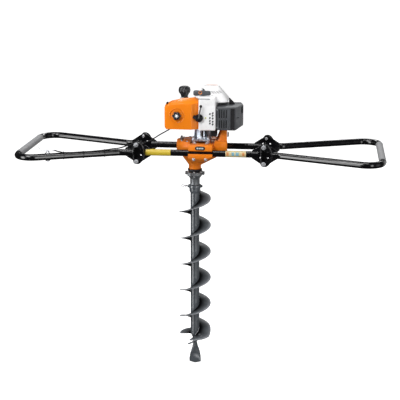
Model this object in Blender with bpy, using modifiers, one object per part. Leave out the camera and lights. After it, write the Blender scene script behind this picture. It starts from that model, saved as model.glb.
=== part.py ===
"""Two-operator powered earth auger: engine, reduction gearbox, folding handle frame and drill bit.

Metres, +Z up. The origin is on the drilling axis, in the plane of the frame tubes. +X runs along
the frame to the right-hand operator and -Y faces the side with the air filter knob.
"""

import math

import bmesh
import bpy
from mathutils import Matrix, Quaternion, Vector

# Driving dimensions, in metres.
GAP = 0.0003  # between pieces that touch
TUBE_R = 0.0135
TUBE_WALL = 0.002
TUBE_Y = 0.085  # each frame tube from the drilling axis
FRAME_X = 0.032  # middle of the frame, beside the drilling axis
HINGE_X = 0.262  # each hinge's bolts from the middle of the frame
BOLT_Z = 0.035  # each hinge bolt above or below the tube
PLATE_T = 0.006
HANDLE_X = 0.738  # each end bar from the middle of the frame
HANDLE_Y = 0.280  # half the length of an end bar, corner to corner
CRANK_X = 0.03175  # crankshaft and input shaft
LAYSHAFT_X = 0.063
BIT_R = 0.068
CORE_R = 0.019
FLIGHT_PITCH = 0.116
TIP_Z = -0.952
SHROUD_TOP_Z = 0.204
ENGINE_FLOOR_Z = 0.094

CUP_Y = TUBE_Y + PLATE_T / 2 + 2 * GAP  # inner face of a hinge cup
CUP_DEPTH = 2 * TUBE_R
GRIP_TUBE_Y = CUP_Y + TUBE_R  # a handle tube at the hinge
LEFT_HINGE = FRAME_X - HINGE_X
RIGHT_HINGE = FRAME_X + HINGE_X
AXES = {"X": Vector((1, 0, 0)), "Y": Vector((0, 1, 0)), "Z": Vector((0, 0, 1))}


# --- scene, materials and shared helpers ---


def clear_scene():
    for old in list(bpy.data.objects):
        bpy.data.objects.remove(old, do_unlink=True)


def new_collection(name):
    made = bpy.data.collections.new(name)
    bpy.context.scene.collection.children.link(made)
    return made


clear_scene()
PARTS = new_collection("powered_auger")
CUTTERS = new_collection("cutters")


def material(name, colour, roughness, metallic=0.0):
    made = bpy.data.materials.new(name)
    made.use_nodes = True
    shader = made.node_tree.nodes["Principled BSDF"]
    shader.inputs["Base Color"].default_value = (*colour, 1.0)
    shader.inputs["Roughness"].default_value = roughness
    shader.inputs["Metallic"].default_value = metallic
    return made


BLACK_PAINT = material("black_paint", (0.012, 0.012, 0.014), 0.25)
ORANGE_PAINT = material("orange_paint", (0.85, 0.20, 0.015), 0.35)
ORANGE_PLASTIC = material("orange_plastic", (0.87, 0.21, 0.015), 0.4)
WHITE_PLASTIC = material("white_plastic", (0.80, 0.80, 0.81), 0.35)
TANK_PLASTIC = material("tank_plastic", (0.72, 0.74, 0.72), 0.4)
BLACK_PLASTIC = material("black_plastic", (0.03, 0.032, 0.035), 0.5)
RUBBER = material("rubber", (0.16, 0.16, 0.165), 0.8)
CAST_ALUMINIUM = material("cast_aluminium", (0.55, 0.56, 0.58), 0.45, 0.9)
STEEL = material("steel", (0.45, 0.45, 0.47), 0.35, 1.0)
BIT_PAINT = material("bit_paint", (0.13, 0.145, 0.16), 0.45, 0.3)
ZINC = material("zinc", (0.62, 0.63, 0.65), 0.3, 1.0)
FOAM = material("filter_foam", (0.06, 0.06, 0.05), 0.9)


def place(name, mesh, look, matrix=None):
    """An object of this mesh in the parts collection, or a hidden cutter where look is None."""
    obj = bpy.data.objects.new(name, mesh)
    obj.matrix_world = matrix or Matrix.Identity(4)
    if look is None:
        CUTTERS.objects.link(obj)
        obj.hide_render = True
        obj.display_type = "WIRE"
    else:
        PARTS.objects.link(obj)
        mesh.materials.append(look)
        mesh.shade_smooth()
        mesh.set_sharp_from_angle(angle=math.radians(35))
    return obj


def mesh_of(shape, name):
    """The mesh of a finished bmesh, its faces pointing out."""
    bmesh.ops.recalc_face_normals(shape, faces=shape.faces)
    mesh = bpy.data.meshes.new(name)
    shape.to_mesh(mesh)
    shape.free()
    return mesh


def bevel(obj, width, segments=2, angle=40):
    """Rounds the edges sharper than angle, in degrees."""
    rounding = obj.modifiers.new("rounding", "BEVEL")
    rounding.width = width
    rounding.segments = segments
    rounding.limit_method = "ANGLE"
    rounding.angle_limit = math.radians(angle)
    return obj


def boolean(obj, other, operation):
    change = obj.modifiers.new(operation.lower() + "_" + other.name, "BOOLEAN")
    change.operation = operation
    change.object = other


def cut(obj, *others):
    for other in others:
        boolean(obj, other, "DIFFERENCE")
    return obj


def join(obj, *others):
    for other in others:
        boolean(obj, other, "UNION")
    return obj


def box(name, low, high, look=None):
    """A box between two corners."""
    low, high = Vector(low), Vector(high)
    shape = bmesh.new()
    bmesh.ops.create_cube(shape, size=1.0)
    bmesh.ops.scale(shape, vec=high - low, verts=shape.verts)
    bmesh.ops.translate(shape, vec=(low + high) / 2, verts=shape.verts)
    return place(name, mesh_of(shape, name), look)


def rod(name, start, end, radius, look=None, end_radius=None, sides=12):
    """A cylinder, or a cone where end_radius differs, between two points."""
    start, end = Vector(start), Vector(end)
    shape = bmesh.new()
    bmesh.ops.create_cone(
        shape,
        cap_ends=True,
        segments=sides,
        radius1=radius,
        radius2=radius if end_radius is None else end_radius,
        depth=(end - start).length,
    )
    turn = (end - start).to_track_quat("Z", "Y").to_matrix().to_4x4()
    matrix = Matrix.Translation((start + end) / 2) @ turn
    return place(name, mesh_of(shape, name), look, matrix)


def turned(name, profile, look=None, at=(0, 0, 0), axis="Z", steps=16):
    """A solid turned about an axis through at. The profile's (radius, height) points run from top to bottom;
    an end off the axis is closed with a flat face by returning to the axis, and a ring closes on itself."""
    mesh = bpy.data.meshes.new(name)
    ring = profile[0][0] > 0 and profile[-1][0] > 0
    points = [(radius, 0, height) for radius, height in profile]
    edges = [(i, i + 1) for i in range(len(points) - 1)]
    if ring:
        edges.append((len(points) - 1, 0))
    mesh.from_pydata(points, edges, [])
    turn = AXES[axis].to_track_quat("Z", "Y").to_matrix().to_4x4()
    obj = place(name, mesh, look, Matrix.Translation(at) @ turn)
    screw = obj.modifiers.new("turning", "SCREW")
    screw.steps = steps
    screw.render_steps = steps
    screw.use_merge_vertices = True
    screw.merge_threshold = 0.00001
    screw.use_smooth_shade = False
    return obj


def extruded(name, outline, thickness, look=None, at=(0, 0, 0), normal="Z", holes=()):
    """A plate with a flat outline, centred on at. With normal Z the outline's points are (x, y), and
    with normal Y they are (x, z). Each hole is another outline."""
    curve = bpy.data.curves.new(name, "CURVE")
    curve.dimensions = "2D"
    curve.fill_mode = "BOTH"
    curve.extrude = thickness / 2
    for points in (outline, *holes):
        spline = curve.splines.new("POLY")
        spline.points.add(len(points) - 1)
        for point, (across, along) in zip(spline.points, points):
            point.co = (across, along, 0, 1)
        spline.use_cyclic_u = True
    guide = bpy.data.objects.new(name + "_outline", curve)
    CUTTERS.objects.link(guide)
    bpy.context.view_layer.update()
    graph = bpy.context.evaluated_depsgraph_get()
    mesh = bpy.data.meshes.new_from_object(guide.evaluated_get(graph))
    mesh.materials.clear()
    bpy.data.objects.remove(guide)
    shape = bmesh.new()
    shape.from_mesh(mesh)
    bmesh.ops.remove_doubles(shape, verts=shape.verts, dist=0.000001)
    flat = math.radians(0.5)
    bmesh.ops.dissolve_limit(shape, angle_limit=flat, verts=shape.verts, edges=shape.edges)
    turn = Matrix.Rotation(math.radians(90), 4, "X") if normal == "Y" else Matrix.Identity(4)
    bmesh.ops.transform(shape, matrix=Matrix.Translation(at) @ turn, verts=shape.verts)
    return place(name, mesh_of(shape, name), look)


def hull(name, points, look=None):
    """The convex solid around these points."""
    shape = bmesh.new()
    corners = [shape.verts.new(point) for point in points]
    found = bmesh.ops.convex_hull(shape, input=corners)
    loose = {v for v in found["geom_interior"] if isinstance(v, bmesh.types.BMVert)}
    bmesh.ops.delete(shape, geom=list(loose), context="VERTS")
    bmesh.ops.dissolve_limit(
        shape, angle_limit=math.radians(1), verts=shape.verts, edges=shape.edges
    )
    return place(name, mesh_of(shape, name), look)


def pipe(name, path, radius, look, wall=None, sides=10):
    """A round bar along a path, or a tube open at its ends where a wall thickness is given."""
    curve = bpy.data.curves.new(name, "CURVE")
    curve.dimensions = "3D"
    curve.bevel_depth = radius
    curve.bevel_resolution = sides // 2 - 2
    curve.use_fill_caps = wall is None
    spline = curve.splines.new("POLY")
    spline.points.add(len(path) - 1)
    for point, place_at in zip(spline.points, path):
        point.co = (*place_at, 1)
    obj = bpy.data.objects.new(name, curve)
    PARTS.objects.link(obj)
    curve.materials.append(look)
    if wall is not None:
        shell = obj.modifiers.new("wall", "SOLIDIFY")
        shell.thickness = wall
        shell.offset = -1
    return obj


def circle(radius, centre=(0, 0), sides=16):
    turns = (2 * math.pi * i / sides for i in range(sides))
    return [(centre[0] + radius * math.cos(t), centre[1] + radius * math.sin(t)) for t in turns]


def arc(centre, radius, start, end, steps):
    """Points on an arc, from start to end in degrees; radius may be (across, along) for an ellipse."""
    across, along = radius if isinstance(radius, tuple) else (radius, radius)
    turns = [math.radians(start + (end - start) * i / steps) for i in range(steps + 1)]
    return [(centre[0] + across * math.cos(t), centre[1] + along * math.sin(t)) for t in turns]


def rounded_rectangle(low, high, radius, steps=4):
    (x0, y0), (x1, y1) = low, high
    corners = (
        ((x1 - radius, y0 + radius), -90),
        ((x1 - radius, y1 - radius), 0),
        ((x0 + radius, y1 - radius), 90),
        ((x0 + radius, y0 + radius), 180),
    )
    return [p for centre, turn in corners for p in arc(centre, radius, turn, turn + 90, steps)]


def at_height(outline, height):
    return [(x, y, height) for x, y in outline]


def rounded_path(corners, radii, steps=4):
    """A path through corners whose inner ones are replaced with arcs of these radii."""
    path = [Vector(corners[0])]
    for before, corner, after, radius in zip(corners, corners[1:], corners[2:], radii):
        before, corner, after = Vector(before), Vector(corner), Vector(after)
        back, ahead = (before - corner).normalized(), (after - corner).normalized()
        half = back.angle(ahead) / 2
        centre = corner + (back + ahead).normalized() * radius / math.sin(half)
        first = corner + back * radius / math.tan(half) - centre
        last = corner + ahead * radius / math.tan(half) - centre
        turn = first.rotation_difference(last)
        whole = Quaternion()
        path += [centre + whole.slerp(turn, i / steps) @ first for i in range(steps + 1)]
    path.append(Vector(corners[-1]))
    return path


def smooth_path(points, per_span=4):
    """A smooth curve through points, as a Catmull-Rom spline."""
    points = [Vector(p) for p in points]
    ends = [2 * points[0] - points[1], *points, 2 * points[-1] - points[-2]]
    path = []
    for a, b, c, d in zip(ends, ends[1:], ends[2:], ends[3:]):
        for i in range(per_span):
            t = i / per_span
            path.append(
                0.5 * (2 * b + (c - a) * t + (2 * a - 5 * b + 4 * c - d) * t**2
                       + (3 * b - a - 3 * c + d) * t**3)
            )
    return [*path, points[-1]]


# --- frame tubes, hinges and handles ---

BOLT_R = 0.005
BOLT_HEAD_R = 0.008
BOLT_HEAD_T = 0.007
WASHER_R = 0.0105
WASHER_T = 0.002
CUP_FLAT_X = -0.0125  # a cup's straight wall, from the hinge's bolts
CUP_CURVE = ((0.004, 0.0), (0.0295, 0.046))  # centre and half sizes of its curved wall
CUP_ROUND_X = CUP_CURVE[0][0] + CUP_CURVE[1][0]
SIGHT_HOLES = ((0.016, 0.0125), (0.016, -0.0125), (-0.014, 0.0125), (-0.014, -0.0125))
SIGHT_HOLE_R = 0.0036


def frame_tube(side, y):
    """One straight tube through the gearbox clamps, slotted at each end over its hinge plate."""
    left_end = LEFT_HINGE + CUP_ROUND_X + 0.001
    right_end = RIGHT_HINGE - 0.022
    length = right_end - left_end
    inner = TUBE_R - TUBE_WALL
    profile = [(inner, length / 2), (TUBE_R, length / 2), (TUBE_R, -length / 2), (inner, -length / 2)]
    middle = ((left_end + right_end) / 2, y, 0)
    tube = turned(f"frame_tube_{side}", profile, BLACK_PAINT, middle, "X", steps=20)
    for end, hinge in (("left", LEFT_HINGE), ("right", RIGHT_HINGE)):
        slot = box(
            f"slot_{side}_{end}",
            (hinge - 0.053, y - PLATE_T / 2 - GAP, -0.02),
            (hinge + 0.059, y + PLATE_T / 2 + GAP, 0.02),
        )
        cut(tube, slot)
    return tube


def hinge_plate(place_name, hinge, y):
    """The six-sided plate in a frame tube's slot, drilled for both hinge bolts and four sight holes."""
    middle = 0.003
    outline = [(middle + x, z) for x, z in (
        (0.0, 0.050), (-0.053, 0.0155), (-0.053, -0.0155),
        (0.0, -0.050), (0.053, -0.0155), (0.053, 0.0155),
    )]
    holes = [circle(BOLT_R + 2 * GAP, (0, z), 12) for z in (BOLT_Z, -BOLT_Z)]
    holes += [circle(SIGHT_HOLE_R, at, 8) for at in SIGHT_HOLES]
    plate = extruded(
        f"hinge_plate_{place_name}", outline, PLATE_T, BLACK_PAINT, (hinge, y, 0), "Y", holes
    )
    return plate


def hinge_cup(place_name, hinge, side):
    """The D-shaped cup welded to a handle tube's end. The lock bolt is screwed into its lower end."""
    centre, size = CUP_CURVE
    outline = [(CUP_FLAT_X, -0.038), (-0.006, -0.045)]
    outline += arc(centre, size, -90, 90, 10)
    outline += [(-0.006, 0.045), (CUP_FLAT_X, 0.038)]
    wall = 0.004
    pocket = [(CUP_FLAT_X + wall, -0.020), (-0.002, -0.0235)]
    pocket += arc(centre, (size[0] - wall, 0.0235), -70, 70, 6)
    pocket += [(-0.002, 0.0235), (CUP_FLAT_X + wall, 0.020)]
    middle_y = side * (CUP_Y + CUP_DEPTH / 2)
    cup = extruded(
        f"hinge_cup_{place_name}", outline, CUP_DEPTH, BLACK_PAINT, (hinge, middle_y, 0), "Y"
    )
    hollow = extruded(
        f"pocket_{place_name}", pocket, CUP_DEPTH, None, (hinge, middle_y + side * wall, 0), "Y"
    )
    outer_y = side * (CUP_Y + CUP_DEPTH)
    bore = rod(
        f"cup_bore_{place_name}", (hinge, 0, BOLT_Z), (hinge, 2 * outer_y, BOLT_Z), BOLT_R + 2 * GAP
    )
    washer = rod(
        f"lock_washer_{place_name}", (hinge, outer_y - side * 0.001, -BOLT_Z),
        (hinge, outer_y + side * WASHER_T, -BOLT_Z), WASHER_R,
    )
    head = rod(
        f"lock_head_{place_name}", (hinge, outer_y, -BOLT_Z),
        (hinge, outer_y + side * (WASHER_T + BOLT_HEAD_T), -BOLT_Z), BOLT_HEAD_R, sides=6,
    )
    cut(cup, hollow, bore)
    for i, (x, z) in enumerate(SIGHT_HOLES[:2]):
        hole = rod(
            f"cup_hole_{place_name}_{i}", (hinge + x, 0, z), (hinge + x, 2 * outer_y, z), SIGHT_HOLE_R,
            sides=8,
        )
        cut(cup, hole)
    return join(cup, washer, head)


def pivot_bolt(place_name, hinge, side):
    """The bolt that a handle folds about, with its washer outside the cup and its nut inside the frame."""
    outer = CUP_Y + CUP_DEPTH + GAP
    inner = TUBE_Y - PLATE_T / 2 - GAP
    nut_t = 0.006
    profile = [
        (0, WASHER_T + BOLT_HEAD_T), (BOLT_HEAD_R, WASHER_T + BOLT_HEAD_T), (BOLT_HEAD_R, WASHER_T),
        (WASHER_R, WASHER_T), (WASHER_R, 0), (BOLT_R, 0), (BOLT_R, inner - outer),
        (BOLT_HEAD_R, inner - outer), (BOLT_HEAD_R, inner - outer - nut_t),
        (BOLT_R, inner - outer - nut_t), (BOLT_R, inner - outer - nut_t - 0.002),
        (0, inner - outer - nut_t - 0.002),
    ]
    bolt = turned(f"pivot_bolt_{place_name}", profile, ZINC, steps=12)
    turn = Vector((0, side, 0)).to_track_quat("Z", "Y").to_matrix().to_4x4()
    bolt.matrix_world = Matrix.Translation((hinge, side * outer, BOLT_Z)) @ turn
    return bolt


def handle(side_name, start_x, bend_x, end_x):
    """One bent tube from a front hinge cup, round the operator's end bar, to the rear hinge cup."""
    corners = [
        (start_x, -GRIP_TUBE_Y, 0), (bend_x, -GRIP_TUBE_Y, 0), (end_x, -HANDLE_Y, 0),
        (end_x, HANDLE_Y, 0), (bend_x, GRIP_TUBE_Y, 0), (start_x, GRIP_TUBE_Y, 0),
    ]
    end_radius, hinge_radius = 0.062, 0.050
    path = rounded_path(corners, (hinge_radius, end_radius, end_radius, hinge_radius))
    pipe(f"{side_name}_handle_tube", path, TUBE_R, BLACK_PAINT, TUBE_WALL, sides=8)
    sleeve_t = 0.0012
    inner = TUBE_R + GAP
    half = 0.178
    profile = [
        (inner, half), (inner + sleeve_t, half), (inner + sleeve_t, -half), (inner, -half)
    ]
    turned(f"{side_name}_grip_sleeve", profile, RUBBER, (end_x, 0, 0), "Y", steps=20)


def build_frame():
    for side_name, side in (("front", -1), ("rear", 1)):
        frame_tube(side_name, side * TUBE_Y)
        for end_name, hinge in (("left", LEFT_HINGE), ("right", RIGHT_HINGE)):
            place_name = f"{end_name}_{side_name}"
            hinge_plate(place_name, hinge, side * TUBE_Y)
            hinge_cup(place_name, hinge, side)
            pivot_bolt(place_name, hinge, side)
    handle("left", LEFT_HINGE + CUP_FLAT_X - GAP, LEFT_HINGE - 0.070, FRAME_X - HANDLE_X)
    handle("right", RIGHT_HINGE + CUP_ROUND_X + GAP, RIGHT_HINGE + 0.066, FRAME_X + HANDLE_X)


# --- throttle lever and cable ---

LEVER_X = -0.574  # the clamp on the left handle's front tube
LEVER_PIN_Z = TUBE_R + 0.0105
CABLE_R = 0.0026
CABLE_ROUTE_FRAME = (
    (-0.0555, -0.028, 0.121), (-0.075, -0.042, 0.1085), (-0.1018, -0.050, 0.090),
    (-0.138, -0.060, 0.070), (-0.162, -0.066, 0.055), (-0.180, -0.070, 0.0445),
    (-0.203, -0.071, 0.0375), (-0.2266, -0.070, 0.0355),
)
CABLE_ROUTE_HANDLE = (  # over the top of the front tube, then along its front
    (-0.2334, -0.070, 0.0345), (-0.262, -0.076, 0.0275), (-0.300, -0.0975, 0.0178),
    (-0.330, -0.1188, 0.0168), (-0.370, -0.1423, 0.0143), (-0.440, -0.1748, 0.0128),
    (-0.505, -0.2015, 0.0144), (-0.530, -0.2078, 0.0188), (-0.549, -0.2100, 0.0245),
)


def handle_y(x):
    """Distance of the left handle's sloping tube from the middle plane, at x."""
    bend_x, end_x = LEFT_HINGE - 0.070, FRAME_X - HANDLE_X
    return GRIP_TUBE_Y + (HANDLE_Y - GRIP_TUBE_Y) * (x - bend_x) / (end_x - bend_x)


def tube_slope():
    """Angle of the left handle's sloping front tube in plan, from -X."""
    run = (LEFT_HINGE - 0.070) - (FRAME_X - HANDLE_X)
    return math.atan2(HANDLE_Y - GRIP_TUBE_Y, run)


def build_throttle():
    """A band round the tube with a bracket above it, and the lever that pivots on the bracket's pin."""
    centre = Vector((LEVER_X, -handle_y(LEVER_X), 0))
    along = Matrix.Translation(centre) @ Matrix.Rotation(tube_slope(), 4, "Z")
    band_half, band_t = 0.009, 0.0025
    inner = TUBE_R + GAP
    profile = [
        (inner, band_half), (inner + band_t, band_half), (inner + band_t, -band_half), (inner, -band_half)
    ]
    band = turned("throttle_bracket", profile, ZINC, steps=20)
    band.matrix_world = along @ Matrix.Rotation(math.radians(90), 4, "Y")
    base = box("bracket_base", (-0.006, -0.007, TUBE_R + 0.001), (0.006, 0.007, TUBE_R + 0.003))
    ears = [
        box(f"bracket_ear_{i}", (-0.005, y - 0.0015, TUBE_R + 0.002), (0.005, y + 0.0015, TUBE_R + 0.0145))
        for i, y in enumerate((-0.0055, 0.0055))
    ]
    pin = rod("lever_pin", (0, -0.0075, LEVER_PIN_Z), (0, 0.0075, LEVER_PIN_Z), 0.002, sides=12)
    screw = rod("clamp_screw", (0, 0, -TUBE_R - 0.010), (0, 0, -TUBE_R - 0.001), 0.003, sides=12)
    for piece in (base, *ears, pin, screw):
        piece.matrix_world = along @ piece.matrix_world
    join(band, base, *ears, pin, screw)

    blade = [
        (0.022, -0.0020), (0.006, -0.0038), (0.0, -0.0042), (-0.012, -0.0032), (-0.022, -0.0008),
        (-0.031, 0.0065), (-0.038, 0.0175), (-0.035, 0.0195), (-0.029, 0.0110), (-0.021, 0.0042),
        (-0.010, 0.0015), (0.0, 0.0045), (0.008, 0.0038), (0.022, 0.0010),
    ]
    lever = extruded(
        "throttle_lever", blade, 0.0065, ZINC, (0, 0, LEVER_PIN_Z), "Y",
        [circle(0.002 + GAP, sides=12)],
    )
    lever.matrix_world = along
    pipe("throttle_cable_frame", smooth_path(CABLE_ROUTE_FRAME, 2), CABLE_R, BLACK_PLASTIC, sides=8)
    pipe("throttle_cable_handle", smooth_path(CABLE_ROUTE_HANDLE, 2), CABLE_R, BLACK_PLASTIC, sides=8)


# --- gears and gearbox ---

FIRST_MODULE, INPUT_TEETH, WHEEL_TEETH = 0.0015625, 8, 32
LAST_MODULE, PINION_TEETH, OUTPUT_TEETH = 0.00225, 10, 46
NOSE_R = 0.026
NOSE_Z = -0.082
SPINDLE_R = 0.012
CASE_FLOOR_Z = -0.016
CLAMP_X = (-0.016, 0.083)
CLAMP_Y = 0.106
CLAMP_SLIT = (-0.0006, 0.0115)  # between the two clamp halves


def gear_outline(teeth, module, turn=0.0):
    """A spur gear with 25 degree teeth, thinned for backlash. turn is in teeth."""
    pitch_r = teeth * module / 2
    base_r = pitch_r * math.cos(math.radians(25))
    tip_r = pitch_r + 0.8 * module
    root_r = pitch_r - 1.15 * module
    slack = 0.14 * module / pitch_r
    flank_pitch = math.sqrt((pitch_r / base_r) ** 2 - 1)
    half_at_base = math.pi / 2 / teeth - slack + flank_pitch - math.atan(flank_pitch)
    outline = []
    for tooth in range(teeth):
        middle = 2 * math.pi * (tooth + turn) / teeth
        flank = []
        for r in (max(base_r, root_r), tip_r):
            roll = math.sqrt(max(0.0, (r / base_r) ** 2 - 1))
            flank.append((r, half_at_base - (roll - math.atan(roll))))
        if base_r > root_r:
            flank.insert(0, (root_r, flank[0][1]))
        rising = [(r, middle - half) for r, half in flank]
        falling = [(r, middle + half) for r, half in reversed(flank)]
        outline += [(r * math.cos(a), r * math.sin(a)) for r, a in rising + falling]
    return outline


def gear(name, teeth, module, x, low, high, look=STEEL, bore=None, turn=0.0):
    holes = [circle(bore)] if bore else []
    outline = gear_outline(teeth, module, turn)
    return extruded(name, outline, high - low, look, (x, 0, (low + high) / 2), "Z", holes)


def build_gears():
    """Input pinion to the layshaft's wheel, then the layshaft's pinion to the output gear."""
    shaft = rod("input_shaft", (CRANK_X, 0, 0.003), (CRANK_X, 0, 0.0565), 0.0045, STEEL)
    pinion = gear("input_pinion", INPUT_TEETH, FIRST_MODULE, CRANK_X, 0.004, 0.015, None, turn=0.5)
    join(shaft, pinion)

    layshaft = rod("layshaft", (LAYSHAFT_X, 0, -0.023), (LAYSHAFT_X, 0, 0.026), 0.006, STEEL)
    wheel = gear("layshaft_wheel", WHEEL_TEETH, FIRST_MODULE, LAYSHAFT_X, 0.005, 0.014, None)
    small = gear("layshaft_pinion", PINION_TEETH, LAST_MODULE, LAYSHAFT_X, -0.0135, 0.006, None)
    join(layshaft, wheel, small)
    gear("output_gear", OUTPUT_TEETH, LAST_MODULE, 0, -0.012, 0.0, bore=SPINDLE_R + GAP, turn=0.5)


def case_outline(inset=0.0):
    """The gearbox seen from above: round over the output gear, square-ended at the engine bracket."""
    lobe, half_y = (0.077 - inset, 0.068 - inset), 0.060 - inset
    start = math.degrees(math.asin(half_y / lobe[1]))
    left = arc((0, 0), lobe, start, 360 - start, 16)
    return [*left, (0.130, -half_y), (0.138 - inset, -half_y + 0.008),
            (0.124 - inset, half_y - 0.008), (0.117, half_y)]


def clamp_block(name, side, low, high):
    """Half of the block that grips a frame tube."""
    (x0, x1), y0, y1 = CLAMP_X, side * 0.050, side * CLAMP_Y
    block = box(name, (x0, min(y0, y1), low), (x1, max(y0, y1), high))
    return bevel(block, 0.003)


def lower_clamp(name, side):
    """The lower half, which tapers in towards the nose."""
    (x0, x1), inner, outer = CLAMP_X, side * 0.030, side * CLAMP_Y
    points = [(x, y, CLAMP_SLIT[0]) for x in (x0, x1) for y in (inner, outer)]
    points += [(x0, outer, -0.019), (x1 - 0.023, outer, -0.019), (x1, outer, -0.010)]
    points += [(x, side * 0.094, -0.032) for x in (x0 + 0.004, x1 - 0.040)]
    points += [(x, side * 0.034, -0.052) for x in (-0.008, 0.040)]
    return hull(name, points)


def tube_bore(name, side):
    y = side * TUBE_Y
    return rod(name, (-0.1, y, 0), (0.17, y, 0), TUBE_R + 2 * GAP, sides=20)


def build_gearbox():
    cover = extruded("gearbox_cover", case_outline(), 0.0315, ORANGE_PAINT, (0, 0, 0.01605), "Z")
    bevel(cover, 0.002, 1, angle=60)
    foot = [
        (0.088, -0.0612), (0.136, -0.0612), (0.1405, -0.056),
        (0.1265, 0.056), (0.122, 0.0612), (0.088, 0.0612),
    ]
    tower = hull("bracket_box", at_height(foot, 0.004) + at_height(foot, 0.046))
    upright = hull("bracket_upright", [
        (x + lean, y, z) for y, lean in ((-0.045, 0.0), (0.045, -0.012))
        for x in (0.1305, 0.1385) for z in (0.030, 0.0925)
    ])
    join(cover, tower, upright)
    for name, y, lean in (("front", -0.045, 0.0), ("rear", 0.037, -0.012)):
        gusset = extruded(
            f"bracket_gusset_{name}",
            [(0.098 + lean, 0.040), (0.135 + lean, 0.040), (0.135 + lean, 0.092), (0.119 + lean, 0.092)],
            0.008, None, (0, y + 0.004, 0), "Y",
        )
        join(cover, gusset)
    lobe = arc((0, 0), (0.0755, 0.0665), 101, 259, 10)
    join(cover, extruded("left_lobe", lobe, 0.016, None, (0, 0, 0.0315), "Z"))
    for name, side in (("front", -1), ("rear", 1)):
        join(cover, clamp_block(f"upper_clamp_{name}", side, CLAMP_SLIT[1], 0.036))
        cut(cover, tube_bore(f"upper_bore_{name}", side))
    cut(
        cover,
        rod("cover_output_room", (0, 0, -0.01), (0, 0, 0.004), 0.0562, sides=32),
        rod("cover_layshaft_room", (LAYSHAFT_X, 0, -0.01), (LAYSHAFT_X, 0, 0.018), 0.029, sides=24),
        rod("cover_layshaft_bore", (LAYSHAFT_X, 0, 0), (LAYSHAFT_X, 0, 0.0275), 0.006 + GAP),
        rod("cover_pinion_room", (CRANK_X, 0, -0.01), (CRANK_X, 0, 0.0175), 0.0095),
        rod("cover_input_bore", (CRANK_X, 0, -0.01), (CRANK_X, 0, 0.05), 0.0045 + GAP),
        rod("cover_spindle_bore", (0, 0, -0.01), (0, 0, 0.024), SPINDLE_R + 2 * GAP, sides=16),
    )

    top_z = -GAP
    housing = extruded(
        "gearbox_housing", case_outline(0.0005), top_z - CASE_FLOOR_Z, ORANGE_PAINT,
        (0, 0, (top_z + CASE_FLOOR_Z) / 2), "Z",
    )
    shoulder = rounded_rectangle((-0.060, -0.050), (0.120, 0.050), 0.040, 4)
    funnel = hull(
        "funnel", at_height(shoulder, CASE_FLOOR_Z + 0.001) + at_height(circle(NOSE_R), -0.066)
    )
    nose = rod("nose", (0, 0, -0.060), (0, 0, NOSE_Z), NOSE_R, sides=32)
    join(housing, funnel, nose)
    for name, side in (("front", -1), ("rear", 1)):
        join(housing, lower_clamp(f"lower_clamp_{name}", side))
        cut(housing, tube_bore(f"lower_bore_{name}", side))
    cut(
        housing,
        rod("housing_output_room", (0, 0, -0.0145), (0, 0, 0.01), 0.0562, sides=32),
        rod("housing_layshaft_room", (LAYSHAFT_X, 0, -0.0155), (LAYSHAFT_X, 0, 0.01), 0.0155, sides=20),
        rod("housing_layshaft_bore", (LAYSHAFT_X, 0, -0.0245), (LAYSHAFT_X, 0, 0), 0.006 + GAP),
        rod("housing_spindle_room", (0, 0, -0.2), (0, 0, 0.01), 0.0206, sides=24),
    )


# --- spindle, coupling and drill bit ---

FLANGE_Z = -0.097
COUPLING_Z = -0.152
PIN_Z = -0.158
PIN_R = 0.003
SOCKET_R = 0.0155
SOCKET_OUTER_R = 0.0235
FIFTH_TURN = -5 * 360  # in degrees, at the right-hand side
FLIGHT_TOP_DEG, FLIGHT_BOTTOM_DEG = 100, FIFTH_TURN + 20
BLADE_RIM = (  # degrees past the fifth turn, and how far the blade's rim drops below a plain helix
    (19, 0.0), (8, 0.005), (-6, 0.014), (-18, 0.019), (-32, 0.0165), (-45, 0.013), (-60, 0.009), (-75, 0.004),
    (-90, 0.0005), (-106, -0.0035),
)
FLIGHT_Z = -0.214  # the first turn at its right-hand side
COUNTER_Z = -0.8140  # the flat plate opposite the cutting blade


def build_spindle():
    turned(
        "spindle_bearing",
        [(SPINDLE_R + GAP, -0.058), (0.0202, -0.058), (0.0202, -0.073), (SPINDLE_R + GAP, -0.073)],
        STEEL,
    )
    turned(
        "spindle_seal",
        [(SPINDLE_R + GAP, -0.075), (0.0200, -0.075), (0.0200, NOSE_Z - GAP), (0.030, NOSE_Z - GAP),
         (0.030, -0.0895), (0.0275, -0.0905), (0.0275, -0.0962), (SPINDLE_R + GAP, -0.0962)],
        BLACK_PLASTIC,
    )
    flange_r, neck_r = 0.041, 0.0205
    spindle = turned(
        "output_spindle",
        [(0, 0.023), (SPINDLE_R, 0.023), (SPINDLE_R, FLANGE_Z + GAP), (flange_r - 0.002, FLANGE_Z + GAP),
         (flange_r, -0.099), (flange_r, -0.106), (flange_r - 0.002, -0.108), (0.031, -0.109),
         (0.029, -0.116), (neck_r, -0.124), (neck_r, COUPLING_Z), (SOCKET_R - GAP, COUPLING_Z),
         (SOCKET_R - GAP, -0.190), (0, -0.190)],
        STEEL,
    )
    for i in range(4):
        turn = math.radians(90 * i)
        x, y = 0.0348 * math.cos(turn), 0.0348 * math.sin(turn)
        join(spindle, rod(f"flange_bolt_{i}", (x, y, -0.115), (x, y, -0.0915), 0.0058, sides=6))
    cut(spindle, rod("spindle_pin_hole", (-0.1, 0, PIN_Z), (0.1, 0, PIN_Z), PIN_R + GAP, sides=16))


def loft(name, sections, look):
    """A closed body through sections that all have the same number of points."""
    shape = bmesh.new()
    rings = [[shape.verts.new(point) for point in section] for section in sections]
    for one, two in zip(rings, rings[1:]):
        for a in range(len(one)):
            b = (a + 1) % len(one)
            shape.faces.new((one[a], one[b], two[b], two[a]))
    shape.faces.new(rings[0][::-1])
    shape.faces.new(rings[-1])
    return place(name, mesh_of(shape, name), look)


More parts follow.
